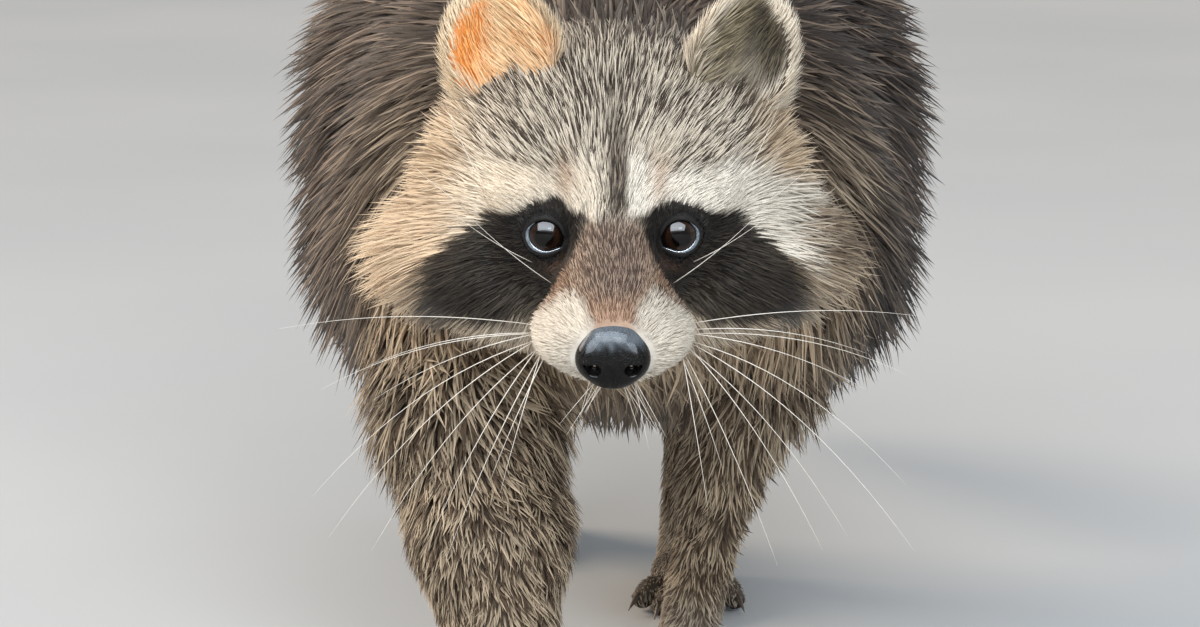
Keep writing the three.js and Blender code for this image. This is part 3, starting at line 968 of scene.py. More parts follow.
def lie_on_ear(ear, q, n):
    """Places in an ear's own frame, its hollow, the way of its hair and depth of coat."""
    turn, at = ear_frame(ear)
    local = (q - at) @ turn
    facing = (n @ turn)[:, 1]
    hollow = ease(0.05, -0.35, facing)
    rise = unit(local * [1, 0, 1] + [0, 0, 38])
    across = np.array([ear["side"] * 0.9, -0.25, 0.55])
    medial = hollow * ease(9, -8, local[:, 0] * ear["side"])
    rise = lerp(rise, unit(across), (0.7 * medial)[:, None])
    rim = ease(0.76, 0.92, from_ear_middle(local))
    inner = hollow * (1 - rim)
    depth = 1.6 + 3.4 * rim + inner * lerp(0.6, 4.6, medial)
    return local, hollow, rise @ turn.T, depth


def lie_of_coat(p, n):
    """The coat at each place p with normal n.

    Gives the region shares, the places in the head's frame, the way of the hair, the depth
    of coat, each ear's own rows and the share along the tail.
    """
    shares = region_shares(p)
    q = to_head(p)
    n_head = n @ HEAD_TURN
    flow = shares["head"][:, None] * (head_flow(q) @ HEAD_TURN.T)
    back = shares["neck"] + shares["trunk"]
    flow += back[:, None] * trunk_flow(p, n)
    depth = shares["head"] * head_coat(q) + shares["neck"] * NECK_COAT
    depth += shares["trunk"] * TRUNK_COAT
    along_tail, way = along_bones(TAIL_LINE, p)
    along_tail = along_tail / (len(TAIL_LINE) - 1)
    flow += shares["tail"][:, None] * way
    steps = np.linspace(0, 1, len(TAIL_COAT))
    depth += shares["tail"] * np.interp(along_tail, steps, TAIL_COAT)
    for name, leg in LEGS.items():
        reach, way = along_bones(leg["joints"], p)
        flow += shares[name][:, None] * unit(way + [0, 0.3, 0])
        depth += shares[name] * np.interp(reach, range(4), LEG_COAT)
        flow += shares["paw_" + name][:, None] * [0, -1, -0.35]
        depth += shares["paw_" + name] * PAW_COAT
    ears = {}
    for name, ear in EARS.items():
        share = shares["ear_" + name]
        local, hollow, rise, ear_depth = lie_on_ear(ear, q, n_head)
        flow += share[:, None] * (rise @ HEAD_TURN.T)
        depth += share * ear_depth
        ears[name] = (local, hollow, share, ear["side"])
    return shares, q, unit(flow), depth, ears, along_tail


def coat_tones(p, shares, q, ears, along_tail, chance):
    """The three tones of each hair."""
    tones = Tones(chance)
    body_tones(tones, p, (shares["trunk"] + shares["neck"], shares["legs"], shares["paws"]))
    tail_tones(tones, shares["tail"], along_tail)
    face_tones(tones, q, shares["head"])
    for ear in ears.values():
        ear_tones(tones, *ear)
    return tones.rows


# ------------------------------------------------------------------ tufts

def quad_facings(places, quads):
    """Each quad's normal, as long as twice its area."""
    corners = places[quads]
    return np.cross(corners[:, 2] - corners[:, 0], corners[:, 3] - corners[:, 1])


def vertex_normals(places, quads):
    across = quad_facings(places, quads)
    total = np.zeros_like(places)
    for k in range(4):
        for axis in range(3):
            total[:, axis] += np.bincount(quads[:, k], across[:, axis], len(places))
    return unit(total)


def scattered(places, normals, quads, spacing, rng):
    """Roots over the skin, one in each spacing squared, evenly spread."""
    area = np.linalg.norm(quad_facings(places, quads), axis=1) / 2
    filled = np.cumsum(area / spacing ** 2)
    picks = np.arange(int(filled[-1])) + rng.uniform(0, 1, int(filled[-1]))
    quad = np.minimum(np.searchsorted(filled, picks), len(quads) - 1)
    u, v = rng.uniform(0, 1, (2, len(quad), 1))
    weights = [(1 - u) * (1 - v), u * (1 - v), u * v, (1 - u) * v]
    root = sum(w * places[quads[quad, k]] for k, w in enumerate(weights))
    normal = sum(w * normals[quads[quad, k]] for k, w in enumerate(weights))
    return root, unit(normal)


def lock_pull(p, size, seed):
    """From each place to the heart of its lock: locks are cells about size across."""
    cell = np.floor(p / size).astype(np.int64)
    best = np.full(len(p), np.inf)
    pull = np.zeros_like(p)
    for step in np.ndindex(3, 3, 3):
        near = cell + np.array(step) - 1
        mixed = (near * [73856093, 19349663, 83492791]).sum(1) + seed * 7919
        jitter = np.stack([(mixed * k % 1009) / 1009 for k in (131, 197, 263)], 1)
        away = (near + jitter) * size - p
        gap = (away ** 2).sum(1)
        closer = gap < best
        best[closer] = gap[closer]
        pull[closer] = away[closer]
    return pull


ROUND = 0.7         # how far a tuft's shading turns from the skin's to its own
UNDER = 0.6         # and how far its underside's turns down from its own length
FLATNESS = 0.62     # a tuft's height for its half width
TAPER = {2: (0.9, 0.8), 3: (0.85, 1.0, 0.55)}      # widths of a tuft's rings by its steps


def tuft_places(hair, steps):
    """Vertices of flattened tapering tufts: rings of three and a point."""
    normal, way, length = hair["normal"], hair["way"], hair["length"]
    side = unit(np.cross(way, normal))
    place = hair["root"] - normal * (0.25 + 0.04 * length)[:, None]
    rings, above, below = [], [], []
    for i in range(steps + 1):
        share = i / steps
        angle = lerp(hair["lift"], hair["lay"], (i + 0.5) / steps)[:, None]
        ahead = np.cos(angle) * way + np.sin(angle) * normal
        up = np.cross(side, ahead)
        middle = place + hair["pull"] * share ** 1.5
        under = unit(ahead - UNDER * up)[:, None]
        if i == steps:
            rings.append(middle[:, None])
            above.append(normal[:, None])
            below.append(under)
            break
        half = (hair["width"] * TAPER[steps][i] / 2)[:, None]
        rings.append(np.stack([middle - side * half, middle + up * half * FLATNESS,
                               middle + side * half], 1))
        above.append(np.stack([unit(normal - side * ROUND), unit(normal + up * ROUND),
                               unit(normal + side * ROUND)], 1))
        below.append(np.repeat(under, 3, 1))
        place = place + ahead * (length / steps)[:, None]
    rings = np.concatenate(rings, 1)
    rings[..., 2] = np.maximum(rings[..., 2], 0.4)      # nothing goes through the floor
    return rings, np.concatenate(above, 1), np.concatenate(below, 1)


def tuft_faces(steps):
    """Corners and face sizes of one tuft, and which corners are on its underside."""
    corners, sizes, under = [2, 1, 0], [3], [True] * 3
    for i in range(steps - 1):
        for k in range(3):
            a, b = 3 * i + k, 3 * i + (k + 1) % 3
            corners += [a, b, b + 3, a + 3]
            sizes.append(4)
            under += [k == 2] * 4
    last = 3 * (steps - 1)
    for k in range(3):
        corners += [last + k, last + (k + 1) % 3, last + 3]
        sizes.append(3)
        under += [k == 2] * 3
    return np.array(corners), np.array(sizes), np.array(under)


def tuft_colours(tones, steps):
    """A colour for each vertex from the three tones of its tuft."""
    under, middle, tip = tones[:, 0], tones[:, 1], tones[:, 2]
    if steps == 2:
        levels = [under, lerp(middle, tip, 0.5), tip]
    else:
        levels = [under * 0.9, lerp(under, middle, 0.7), lerp(middle, tip, 0.45), tip]
    rows = [np.repeat(level[:, None], 3, 1) for level in levels[:-1]]
    return np.concatenate(rows + [levels[-1][:, None]], 1)


HEAD_MIDDLE = np.array([0, 34, -8])
TRUNK_AXIS = 205        # height of the line that the trunk is rolled out round
TRUNK_ENDS = (130, 340)     # y where its chest and rump begin
END_REACH = 95          # how far a quarter turn over an end reaches on the map


def tuft_map(centre, steps):
    """Map places of each vertex: its tuft's small patch at its root's place."""
    across = np.array([-0.5, 0, 0.5] * steps + [0])
    along = np.repeat(np.arange(steps + 1), [3] * steps + [1]) / steps - 0.5
    return centre[:, None] + PATCH * np.stack([across, along], -1)


def within_map(places):
    """Room for a patch left at the edge of the map's square."""
    return 0.004 + places * 0.992


def spread(values):
    """Map places stretched to fill the square."""
    low, high = values.min(0), values.max(0)
    return within_map((values - low) / (high - low))


def around_axis(x, z, along):
    return np.stack([np.arctan2(x, z) / (2 * math.pi), along], 1)


def ear_places(ears):
    """Places on the ears' map: backs beside fronts, the left ear above the right."""
    width, height = EAR_SIZE[0] + 2, EAR_SIZE[2] + 2
    rows = [np.stack([local[:, 0] / width + 0.5 + (hollow > 0.5),
                      local[:, 2] / height + 0.5 + (side > 0)], 1) / 2
            for local, hollow, _, side in ears.values()]
    return np.where((ears["left"][2] > 0.5)[:, None], rows[1], rows[0])


def unwrapped(kind, hair):
    """Each root's place on its own part of the skin, rolled out flat."""
    p, along_tail = hair["root"], hair["tail"]
    if kind == "head":
        r = unit((hair["head"] - HEAD_MIDDLE) * [0.8, 1, 1])
        polar = np.arccos(np.clip(-r[:, 1], -1, 1))
        turn = np.arctan2(r[:, 0], r[:, 2])
        disc = np.sin(polar / 2)
        return spread(np.stack([disc * np.sin(turn), disc * np.cos(turn)], 1))
    if kind == "ears":
        return within_map(np.clip(hair["ear"], 0, 1))
    if kind == "tail":
        line = np.array(TAIL_LINE, F)
        steps = np.linspace(0, 1, len(line))
        middle = np.stack([np.interp(along_tail, steps, line[:, k]) for k in range(3)], 1)
        r = p - middle
        return spread(around_axis(r[:, 0], r[:, 1] + r[:, 2], along_tail))
    if kind == "trunk":
        r = np.hypot(p[:, 0], p[:, 2] - TRUNK_AXIS)
        along = np.clip(p[:, 1], *TRUNK_ENDS)
        along = along + END_REACH * np.arctan2(p[:, 1] - along, r)
        return spread(around_axis(p[:, 0], p[:, 2] - TRUNK_AXIS, along))
    rows = np.zeros((len(p), 2))
    for k, leg in enumerate(LEGS.values()):
        joints = np.array(leg["joints"], F)[::-1]
        near = (np.sign(p[:, 0]) == leg["side"]) & ((p[:, 1] < MID_BODY) == (k < 2))
        cx = np.interp(p[:, 2], joints[:, 2], joints[:, 0])
        cy = np.interp(p[:, 2], joints[:, 2], joints[:, 1])
        flatness = p[:, 2] + 0.6 * np.hypot(p[:, 0] - cx, p[:, 1] - cy) * ease(40, 20, p[:, 2])
        mapped = around_axis(p[:, 0] - cx, cy - p[:, 1], flatness)
        mapped[:, 0] += 1.02 * k
        rows[near] = mapped[near]
    return spread(rows)


def picked(hair, chosen):
    """The chosen hairs."""
    return {key: rows[chosen] for key, rows in hair.items()}


def coat_piece(name, kind, slot, finish, hair):
    """One piece of coat: its tufts of two and three steps joined in a mesh."""
    places, facings, corners, sizes, colours, maps = [], [], [], [], [], []
    start = 0
    hair["centre"] = unwrapped(kind, hair)
    for steps in (2, 3):
        some = picked(hair, (hair["length"] < LONG_HAIR) == (steps == 2))
        if not len(some["root"]):
            continue
        rows, above, below = tuft_places(some, steps)
        count, each = rows.shape[:2]
        pattern, shape, under = tuft_faces(steps)
        facing = np.where(under[:, None], below[:, pattern], above[:, pattern])
        numbers = start + np.arange(count)[:, None] * each + pattern
        places.append(rows.reshape(-1, 3))
        facings.append(facing.reshape(-1, 3))
        corners.append(numbers.ravel())
        sizes.append(np.tile(shape, count))
        colours.append(tuft_colours(some["tones"], steps).reshape(-1, 3))
        maps.append(tuft_map(some["centre"], steps).reshape(-1, 2))
        start += count * each
    corners = np.concatenate(corners)
    made = piece(name, np.concatenate(places), corners, np.concatenate(sizes))
    made.data.normals_split_custom_set(np.concatenate(facings).tolist())
    coloured(made, np.concatenate(colours))
    layer = made.data.uv_layers.new(name="OFBake")
    layer.data.foreach_set("uv", np.concatenate(maps)[corners].astype(np.float32).ravel())
    return finished(made, slot, finish)


def coat_spacing(p, depth):
    """How far apart the tufts stand: finest on the face, widest behind."""
    shares = region_shares(p)
    body = shares["trunk"] + shares["neck"] + shares["tail"]
    behind = 1 + 0.2 * ease(200, 300, p[:, 1])
    spacing = shares["head"] * (0.61 + 0.016 * depth)
    spacing += (body * (0.7 + 0.068 * depth) + shares["legs"] * (1.0 + 0.054 * depth)) * behind
    return spacing + shares["paws"] * 1.08 * behind + shares["ears"] * 0.85


def is_bare(root, normal, q, eye_gap, ears, draw):
    """Where no hair grows: soles, eyes, nose, lips and much of the ears' hollows."""
    bare = (eye_gap < BARE_EYE) & (q[:, 1] < 14)
    bare |= nose_body(q) < 0.1
    bare |= (lip_line(q) < 0.8) & (q[:, 1] < -4)
    bare |= (root[:, 2] < 7) & (normal[:, 2] < -0.25)
    for local, hollow, share, side in ears.values():
        bald = share * hollow * ease(0.86, 0.76, from_ear_middle(local))
        outer = ease(-9, 1, local[:, 0] * side)
        bare |= (bald > 0.5) & (draw < lerp(0.1, 0.35, outer))
    return bare


def grown(places, normals, quads):
    """Root, lie, size and tones of every tuft."""
    rng = np.random.default_rng(11)
    middle = places[quads].mean(1)
    middle_normal = unit(normals[quads].mean(1))
    _, _, _, depth, _, _ = lie_of_coat(middle, middle_normal)
    root, normal = scattered(places, normals, quads, coat_spacing(middle, depth), rng)
    shares, q, flow, depth, ears, along_tail = lie_of_coat(root, normal)
    count = len(root)
    chance, size_draw, lift_draw, turn_draw = rng.uniform(0, 1, (4, count))
    _, eye_gap = from_eye(q)
    bare = is_bare(root, normal, q, eye_gap, ears, size_draw)

    # size, shorter round the eyes, longer on the whisker pads
    long = ease(8, 20, depth)
    length = (2.1 + 1.5 * depth) * (0.78 + 0.42 * size_draw)
    length *= 1 - 0.5 * ease(11.5, 7, eye_gap) * ease(16, 12, q[:, 1])
    fine = shares["head"] + shares["ear_left"] + shares["ear_right"]
    pads = ease(15, 20, np.abs(q[:, 0])) * bump_of(q[:, 1], -26, 15) * shares["head"]
    pads *= ease(-8, -15, q[:, 2])
    length += 1.7 * pads
    width = lerp(0.5 + 0.038 * length, 0.34 + 0.019 * length, fine)
    width = width * (0.8 + 0.4 * lift_draw)

    # lift from the skin, and turn from the flow, most in the wool of the legs and chest
    lift = np.radians(lerp(26, 48, ease(1, 16, depth)) + 14 * (lift_draw - 0.5) + 14 * pads)
    lay = np.radians(lerp(8, 16, long) + 12 * (turn_draw - 0.5))
    sway = waves(root, 34, 21) * 0.26 + waves(root, 9, 22) * 0.14
    sway = sway * lerp(0.45, 1, long) + (turn_draw - 0.5) * 0.3
    chest = ease(140, 90, root[:, 1]) * ease(215, 180, root[:, 2]) * (1 - fine)
    wool = np.maximum(shares["legs"] * ease(190, 150, root[:, 2]), chest)
    sway += wool * (waves(root, 13, 31) * 0.42 + (size_draw - 0.5) * 0.7)
    length = length * (1 - 0.22 * wool)
    way = unit(along_skin(flow, normal))
    side = np.cross(normal, way)
    way = np.cos(sway)[:, None] * way + np.sin(sway)[:, None] * side

    # tips drawn together into locks
    small = lock_pull(root, SMALL_LOCK, 1) * 0.22
    large = lock_pull(root, LARGE_LOCK, 2)
    heart = np.linalg.norm(large, axis=1) / LARGE_LOCK
    pull = along_skin(lerp(small, large * 0.6, long[:, None]), normal)
    curl = rng.uniform(-1, 1, count) * lerp(0.07, 0.13, long) * (1 + 1.2 * wool)
    curl = (curl * length)[:, None]
    pull = pull + np.cross(normal, way) * curl
    pull[:, 2] -= 0.12 * long * length

    # a tuft is marked as the place where its outer part lies
    lies_at = root + length[:, None] * (0.55 * way + 0.2 * normal)
    tones = coat_tones(root, shares, to_head(lies_at), ears, along_tail, chance)
    # painted light and shade: long hair is lighter at the heart of each lock and darker towards
    # the gaps between locks; the size draw adds random tone
    shade = lerp(1, 1.22 - 0.62 * heart, long * (1 - shares["head"]))
    tones *= (shade * (0.9 + 0.2 * size_draw))[:, None, None]
    leg = sum(shares[name] + shares["paw_" + name] for name in LEGS)
    belongs = np.stack([shares["head"], shares["ears"], shares["tail"], leg], 1) > 0.5
    hair = dict(root=root, normal=normal, head=q, way=way, length=length, width=width,
                lift=lift, lay=lay, pull=pull, tones=tones, tail=along_tail,
                ear=ear_places(ears), belongs=belongs)
    return picked(hair, ~bare)


def make_coat(places, normals, quads):
    """Every tuft, made up into the coat's pieces."""
    hair = grown(places, normals, quads)
    root, q = hair["root"], hair["head"]
    head, ear, tail, leg = hair["belongs"].T
    fore = root[:, 1] < MID_BODY
    front = q[:, 1] < 10
    right = root[:, 0] < 0
    soft = coat_finish("long_coat", 0.62, 0.25, 0.1, 0.6)
    velvet = coat_finish("short_coat", 0.6, 0.12, 0.03, 0.9)
    ticked = coat_finish("ticked_coat", 0.62, 0.15, 0.05, 4.6)
    # each piece takes what the pieces above it have left
    left = np.ones(len(root), bool)
    for name, kind, slot, finish, where in (
            ("face", "head", "face_fur", velvet, head & front & (face_up(q) < -2)),
            ("brow", "head", "face_fur", ticked, head & front),
            ("crown", "head", "coat_fur", ticked, head & (q[:, 2] > 0)),
            ("ruff_right", "head", "pale_fur", soft, head & (q[:, 0] < 0)),
            ("ruff_left", "head", "pale_fur", soft, head),
            ("ear", "ears", "ear_fur", velvet, ear),
            ("tail", "tail", "tail_fur", soft, tail),
            ("foreleg_right", "legs", "leg_fur", soft, leg & fore & right),
            ("foreleg_left", "legs", "leg_fur", soft, leg & fore),
            ("hindleg", "legs", "leg_fur", soft, leg),
            ("shoulder", "trunk", "coat_fur", soft, root[:, 1] < 175),
            ("flank", "trunk", "coat_fur", soft, root[:, 1] < 265),
            ("loin", "trunk", "coat_fur", soft, root[:, 1] < 345),
            ("rump", "trunk", "coat_fur", soft, root[:, 1] >= 345)):
        chosen = left & where
        left &= ~where
        coat_piece(name + "_coat", kind, slot, finish, picked(hair, chosen))


# ------------------------------------------------------------------ skin and lids

def finer(mesh, chosen):
    """Cuts the chosen faces of a bmesh in four, and gives the new vertices."""
    edges = {edge for face in mesh.faces if chosen(face) for edge in face.edges}
    cut = bmesh.ops.subdivide_edges(mesh, edges=list(edges), cuts=1, use_grid_fill=True)
    return [part for part in cut["geom"] if isinstance(part, bmesh.types.BMVert)]


def on_head_skin(places, rounds=8, most=4):
    """Places in the head's frame moved onto its skin."""
    return to_head(drawn_to(head_skin, from_head(places), rounds, most))


# the lid's rolled edge: distance off the ball, and degrees wider than the opening
LID_ROLL = ((0.05, 9), (0.05, 0), (0.5, -1.5), (0.95, 0.5), (1.3, 5), (1.35, 13))


def lid_rows(side):
    """A rounded lid round one eye, as rings of places in the head's frame."""
    eye = np.array([side * EYE_SPACING / 2, EYE_DEPTH, 0])
    look = unit(np.array([side * 0.16, -1, 0.16]))
    up = unit(np.array([0, 0, 1.0]) - look[2] * look)
    out = side * np.cross(up, look)
    turn = ring_turns(LID_STEPS)[:, None]
    c, s = np.cos(turn), np.sin(turn)
    across = c * out + s * up

    def hump(degrees, reach):
        return bump_of(np.angle(np.exp(1j * (turn - math.radians(degrees)))), 0, reach)

    corner, outer = hump(200, 0.34), hump(12, 0.5)
    opening = np.radians(44.0) - np.radians(3) * s ** 2 + np.radians(16) * corner
    opening = opening + np.radians(2.5) * outer

    def on_ball(radius, wider):
        angle = opening + np.radians(wider)
        return eye + radius * (np.cos(angle) * look + np.sin(angle) * across)

    skin = eye + 10.6 * across + look * 6
    skin = on_head_skin(skin, 4, 2.5)
    rows = [on_ball(EYE_RADIUS + off, wider) for off, wider in LID_ROLL]
    rim = rows[-1]
    for share in (0.25, 0.5, 0.75, 1.0):
        fold = 0.35 * math.sin(share * math.pi) - 0.5 * share ** 3
        rows.append(lerp(rim, skin, share) + look * fold)
    rows.append(skin - look * 2.2)
    return np.stack(rows), eye, look, out, up, opening


def ring_quads(rows, count, start=0):
    """Faces between rings of count places, wound to face outwards."""
    quads = []
    for row in range(rows - 1):
        a = start + row * count + np.arange(count)
        b = start + row * count + (np.arange(count) + 1) % count
        quads.append(np.stack([a, b, b + count, a + count], 1))
    return np.concatenate(quads)


def with_lids(places, quads):
    """The skin's net with the furred outer part of each lid added."""
    for side in (-1, 1):
        rows, *_ = lid_rows(side)
        ring = from_head(rows[LID_FUR])
        net = ring_quads(len(ring), LID_STEPS, len(places))
        if side < 0:
            net = net[:, ::-1]
        places = np.concatenate([places, ring.reshape(-1, 3)])
        quads = np.concatenate([quads, net])
    return places, vertex_normals(places, quads), quads


def spots_of(vertices):
    return np.array([vertex.co for vertex in vertices], F)


def move(vertices, spots):
    for vertex, spot in zip(vertices, spots):
        vertex.co = Vector(spot)


def on_detail(face):
    """Whether a face is on the front of the head, the ears or the paws."""
    p = np.array(face.calc_center_median(), F)
    _, y, z = to_head(p)
    front = y < 26 and z > -60 and p[1] < 60 and p[2] > 110
    return front or p[2] < 24 or (z > 30 and 30 < y < 75)


def on_fine_detail(face):
    """Whether a face is on the end of the muzzle or round an eye."""
    x, y, z = to_head(np.array(face.calc_center_median(), F))
    muzzle = y < -28 and z > -45
    return muzzle or (y < 8 and abs(abs(x) - EYE_SPACING / 2) < 13 and abs(z) < 13)


def make_skin():
    """The whole skin, with lids and flat soles. Gives the net that the coat grows on."""
    places, quads = wrapped(skin_field, *SKIN_BOX, SKIN_STEP)
    places = drawn_to(skin_field, places)
    seed = bpy.data.meshes.new("seed")
    seed.from_pydata(places.tolist(), [], quads.tolist())
    mesh = bmesh.new()
    mesh.from_mesh(seed)
    bpy.data.meshes.remove(seed)
    for chosen in (on_detail, on_fine_detail):
        added = finer(mesh, chosen)
        move(added, drawn_to(skin_field, spots_of(added), 2))
    for side in (-1, 1):
        rows, *_ = lid_rows(side)
        verts = [mesh.verts.new(Vector(p)) for p in from_head(rows).reshape(-1, 3)]
        for quad in ring_quads(len(rows), LID_STEPS):
            mesh.faces.new([verts[i] for i in quad])
        mesh.faces.new(verts[:LID_STEPS][::-1])
        mesh.faces.new(verts[-LID_STEPS:])
    bmesh.ops.recalc_face_normals(mesh, faces=mesh.faces)
    spots = spots_of(mesh.verts)
    spots[:, 2] = np.maximum(spots[:, 2], 0)
    move(mesh.verts, to_frame(spots))
    data = bpy.data.meshes.new("skin")
    mesh.to_mesh(data)
    mesh.free()
    smooth(data)
    skin = linked("skin", data)
    facing = np.zeros(len(spots) * 3, np.float32)
    data.vertices.foreach_get("normal", facing)
    coloured(skin, skin_tones(spots, facing.reshape(-1, 3).astype(F)))
    finished(skin, "paw_skin", skin_finish())
    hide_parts(*[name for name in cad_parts
                        if not name.startswith(("eye", "nose"))])
    return places, quads


def skin_tones(spots, normals):
    """The under tones of the coat, darker as painted shade deep in the coat, with dark lids,
    dark soles and the ears' hollows in painted glow and shade.
    """
    shares, q, _, _, ears, along_tail = lie_of_coat(spots, normals)
    chance = np.full(len(spots), 0.5)
    tones = coat_tones(spots, shares, q, ears, along_tail, chance)
    # painted shade: the skin is darkened as shade deep in the coat
    skin = lerp(tones[:, 0], tones[:, 1], 0.35) * 0.85
    by_nose = ease(3.5, 1.2, nose_field(q))[:, None]
    skin = lerp(skin, tones[:, 2] * 0.85, by_nose)
    eye = np.hypot(np.abs(q[:, 0]) - EYE_SPACING / 2, q[:, 2])
    lid = (ease(11.5, 9.5, eye) * ease(12, 4, q[:, 1]))[:, None]
    skin = lerp(skin, tone(15, 12, 12), lid)
    for local, hollow, share, side in ears.values():
        inner = (share * hollow)[:, None]
        # painted light and shade: the right ear's bare hollow glows orange as sun shines through
        # it, the left ear's is dark with shade
        warm = tone(232, 146, 70) if side < 0 else tone(52, 43, 32)
        reach = from_ear_middle(local)[:, None]
        skin = lerp(skin, warm, 0.9 * inner * ease(0.9, 0.76, reach))
    sole = (shares["paws"] * ease(7, 4.0, spots[:, 2]))[:, None]
    return lerp(skin, tone(44, 38, 36), sole)


# ------------------------------------------------------------------ eyes, nose, claws

EYE_RINGS = np.concatenate([np.linspace(0, 0.9, 22), np.linspace(0.97, math.pi, 18)])
TEAR_STEPS, TEAR_SIDES = 40, 8


def eyeball(eye, look, out, up):
    """The ball with its bulging dome: places, faces and colours."""
    turn = ring_turns(EYE_STEPS)
    dome = 0.55 * np.exp(-(EYE_RINGS / 0.62) ** 4)
    radius = EYE_RADIUS - 0.12 + dome
    c, s = np.cos(EYE_RINGS)[:, None, None], np.sin(EYE_RINGS)[:, None, None]
    across = np.cos(turn)[:, None] * out + np.sin(turn)[:, None] * up
    ball = eye + radius[:, None, None] * (c * look + s * across)
    front, behind = ball[0].mean(0), ball[-1].mean(0)
    places = np.concatenate([front[None], ball[1:-1].reshape(-1, 3), behind[None]])
    k, last = np.arange(EYE_STEPS), len(places) - 1
    nearer, after = 1 + k, 1 + (k + 1) % EYE_STEPS
    cap = np.stack([np.zeros(EYE_STEPS, int), after, nearer], 1)
    beyond = last - EYE_STEPS - 1
    end = np.stack([np.full(EYE_STEPS, last), beyond + nearer, beyond + after], 1)
    faces = [ring_quads(len(EYE_RINGS) - 2, EYE_STEPS, 1), cap, end]
    angle = np.concatenate([[0], np.repeat(EYE_RINGS[1:-1], EYE_STEPS), [math.pi]])[:, None]
    iris = lerp(tone(22, 15, 11), tone(36, 23, 16), ease(0.36, 0.55, angle))
    white = tone(13, 10, 9)        # dark too, and mostly under the lids
    colours = lerp(iris, white, ease(0.58, 0.72, angle))
    pupil = tone(4, 3, 3)
    return places, faces, lerp(colours, pupil, ease(0.40, 0.34, angle))


def wet_rim(eye, look, out, up, opening, start):
    """A crescent from the outer side round below the eye: places and faces."""
    arc = np.linspace(math.radians(-150), math.radians(52), TEAR_STEPS)
    fat = 0.26 + 0.24 * ease(math.radians(-110), math.radians(-40), arc)
    fat = fat * np.sin(np.linspace(0, math.pi, TEAR_STEPS)) ** 0.5 + 0.02
    gape = np.interp(np.mod(arc, 2 * math.pi), ring_turns(LID_STEPS), opening[:, 0])
    way = np.cos(arc)[:, None] * out + np.sin(arc)[:, None] * up
    angle = (gape - 0.012)[:, None]
    spine = eye + (EYE_RADIUS + 0.25) * (np.cos(angle) * look + np.sin(angle) * way)
    around = ring_turns(TEAR_SIDES)
    tube = spine[:, None] + fat[:, None, None] * (
        np.cos(around)[None, :, None] * way[:, None] * 1.5 +
        np.sin(around)[None, :, None] * look)
    first = start + np.arange(TEAR_SIDES)
    ends = np.stack([first, first[::-1] + (TEAR_STEPS - 1) * TEAR_SIDES])
    return tube.reshape(-1, 3), [ring_quads(TEAR_STEPS, TEAR_SIDES, start), ends]


def make_eyes():
    """Each eye: a ball under a clear dome, with a wet rim below."""
    finish, wet = eye_finish(), tear_finish()
    for side, node in ((-1, "eye_right"), (1, "eye_left")):
        _, eye, look, out, up, opening = lid_rows(side)
        ball, ball_faces, colours = eyeball(eye, look, out, up)
        rim, rim_faces = wet_rim(eye, look, out, up, opening, len(ball))
        made = piece(node + "_ball", from_head(np.concatenate([ball, rim])),
                     *joined(*ball_faces, *rim_faces))
        # pale blue-white, partly a painted reflection of the sky
        pale = np.tile(tone(180, 190, 196), (len(rim), 1))
        coloured(made, np.concatenate([colours, pale]))
        finished(made, "eye", finish, wet)
        wet_faces = np.arange(len(made.data.polygons)) >= sum(map(len, ball_faces))
        made.data.polygons.foreach_set("material_index", wet_faces.astype(np.int32))
        wound_outwards(made)
        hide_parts(node)


def wound_outwards(made):
    mesh = bmesh.new()
    mesh.from_mesh(made.data)
    bmesh.ops.recalc_face_normals(mesh, faces=mesh.faces)
    mesh.to_mesh(made.data)
    mesh.free()


def make_nose():
    """The nose leather, paler and blue-grey on top, partly drier leather and partly a painted
    sky reflection, and dark in the nostrils.
    """
    places, quads = wrapped(nose_field, *NOSE_BOX, NOSE_STEP)
    places = drawn_to(nose_field, places, 3, 0.8)
    made = piece("nose_leather", from_head(places), *joined(quads))
    uneven = 0.7 * waves(places, 2.6, 15)
    # painted reflection: the blue-grey top stands partly for the sky mirrored in the wet leather
    top = ease(-17, -12, places[:, 2] + 0.22 * (places[:, 1] + 50) + uneven)[:, None]
    holes = ease(0.5, -0.9, nostrils(places) - 0.3)[:, None]
    colours = lerp(tone(8, 7, 6), tone(98, 106, 114), top)
    coloured(made, lerp(colours, tone(8, 6, 6), holes))
    finished(made, "nose_leather", nose_finish())
    wound_outwards(made)
    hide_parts("nose")


def tubes(name, paths, radii, sides, colours):
    """A piece of closed tapering tubes. Colours come from the share along a tube."""
    paths, radii = np.array(paths), np.array(radii)
    count, steps = radii.shape
    along = unit(np.gradient(paths, axis=1))
    helper = np.array([0.31, 0.17, 0.93])
    across = unit(np.cross(along, helper))
    upward = np.cross(along, across)
    around = ring_turns(sides)
    rings = paths[:, :, None] + radii[:, :, None, None] * (
        np.cos(around)[:, None] * across[:, :, None] +
        np.sin(around)[:, None] * upward[:, :, None])
    k = np.arange(sides)
    starts = np.arange(count)[:, None, None] * steps * sides
    quads = (starts + ring_quads(steps, sides)).reshape(-1, 4)
    ends = (starts + np.stack([k[::-1], (steps - 1) * sides + k])).reshape(-1, sides)
    made = piece(name, rings.reshape(-1, 3), *joined(quads, ends))
    share = np.tile(np.repeat(np.linspace(0, 1, steps), sides), count)[:, None]
    coloured(made, colours(share))
    wound_outwards(made)
    return made


CLAW_STEPS, WHISKER_STEPS = 9, 15


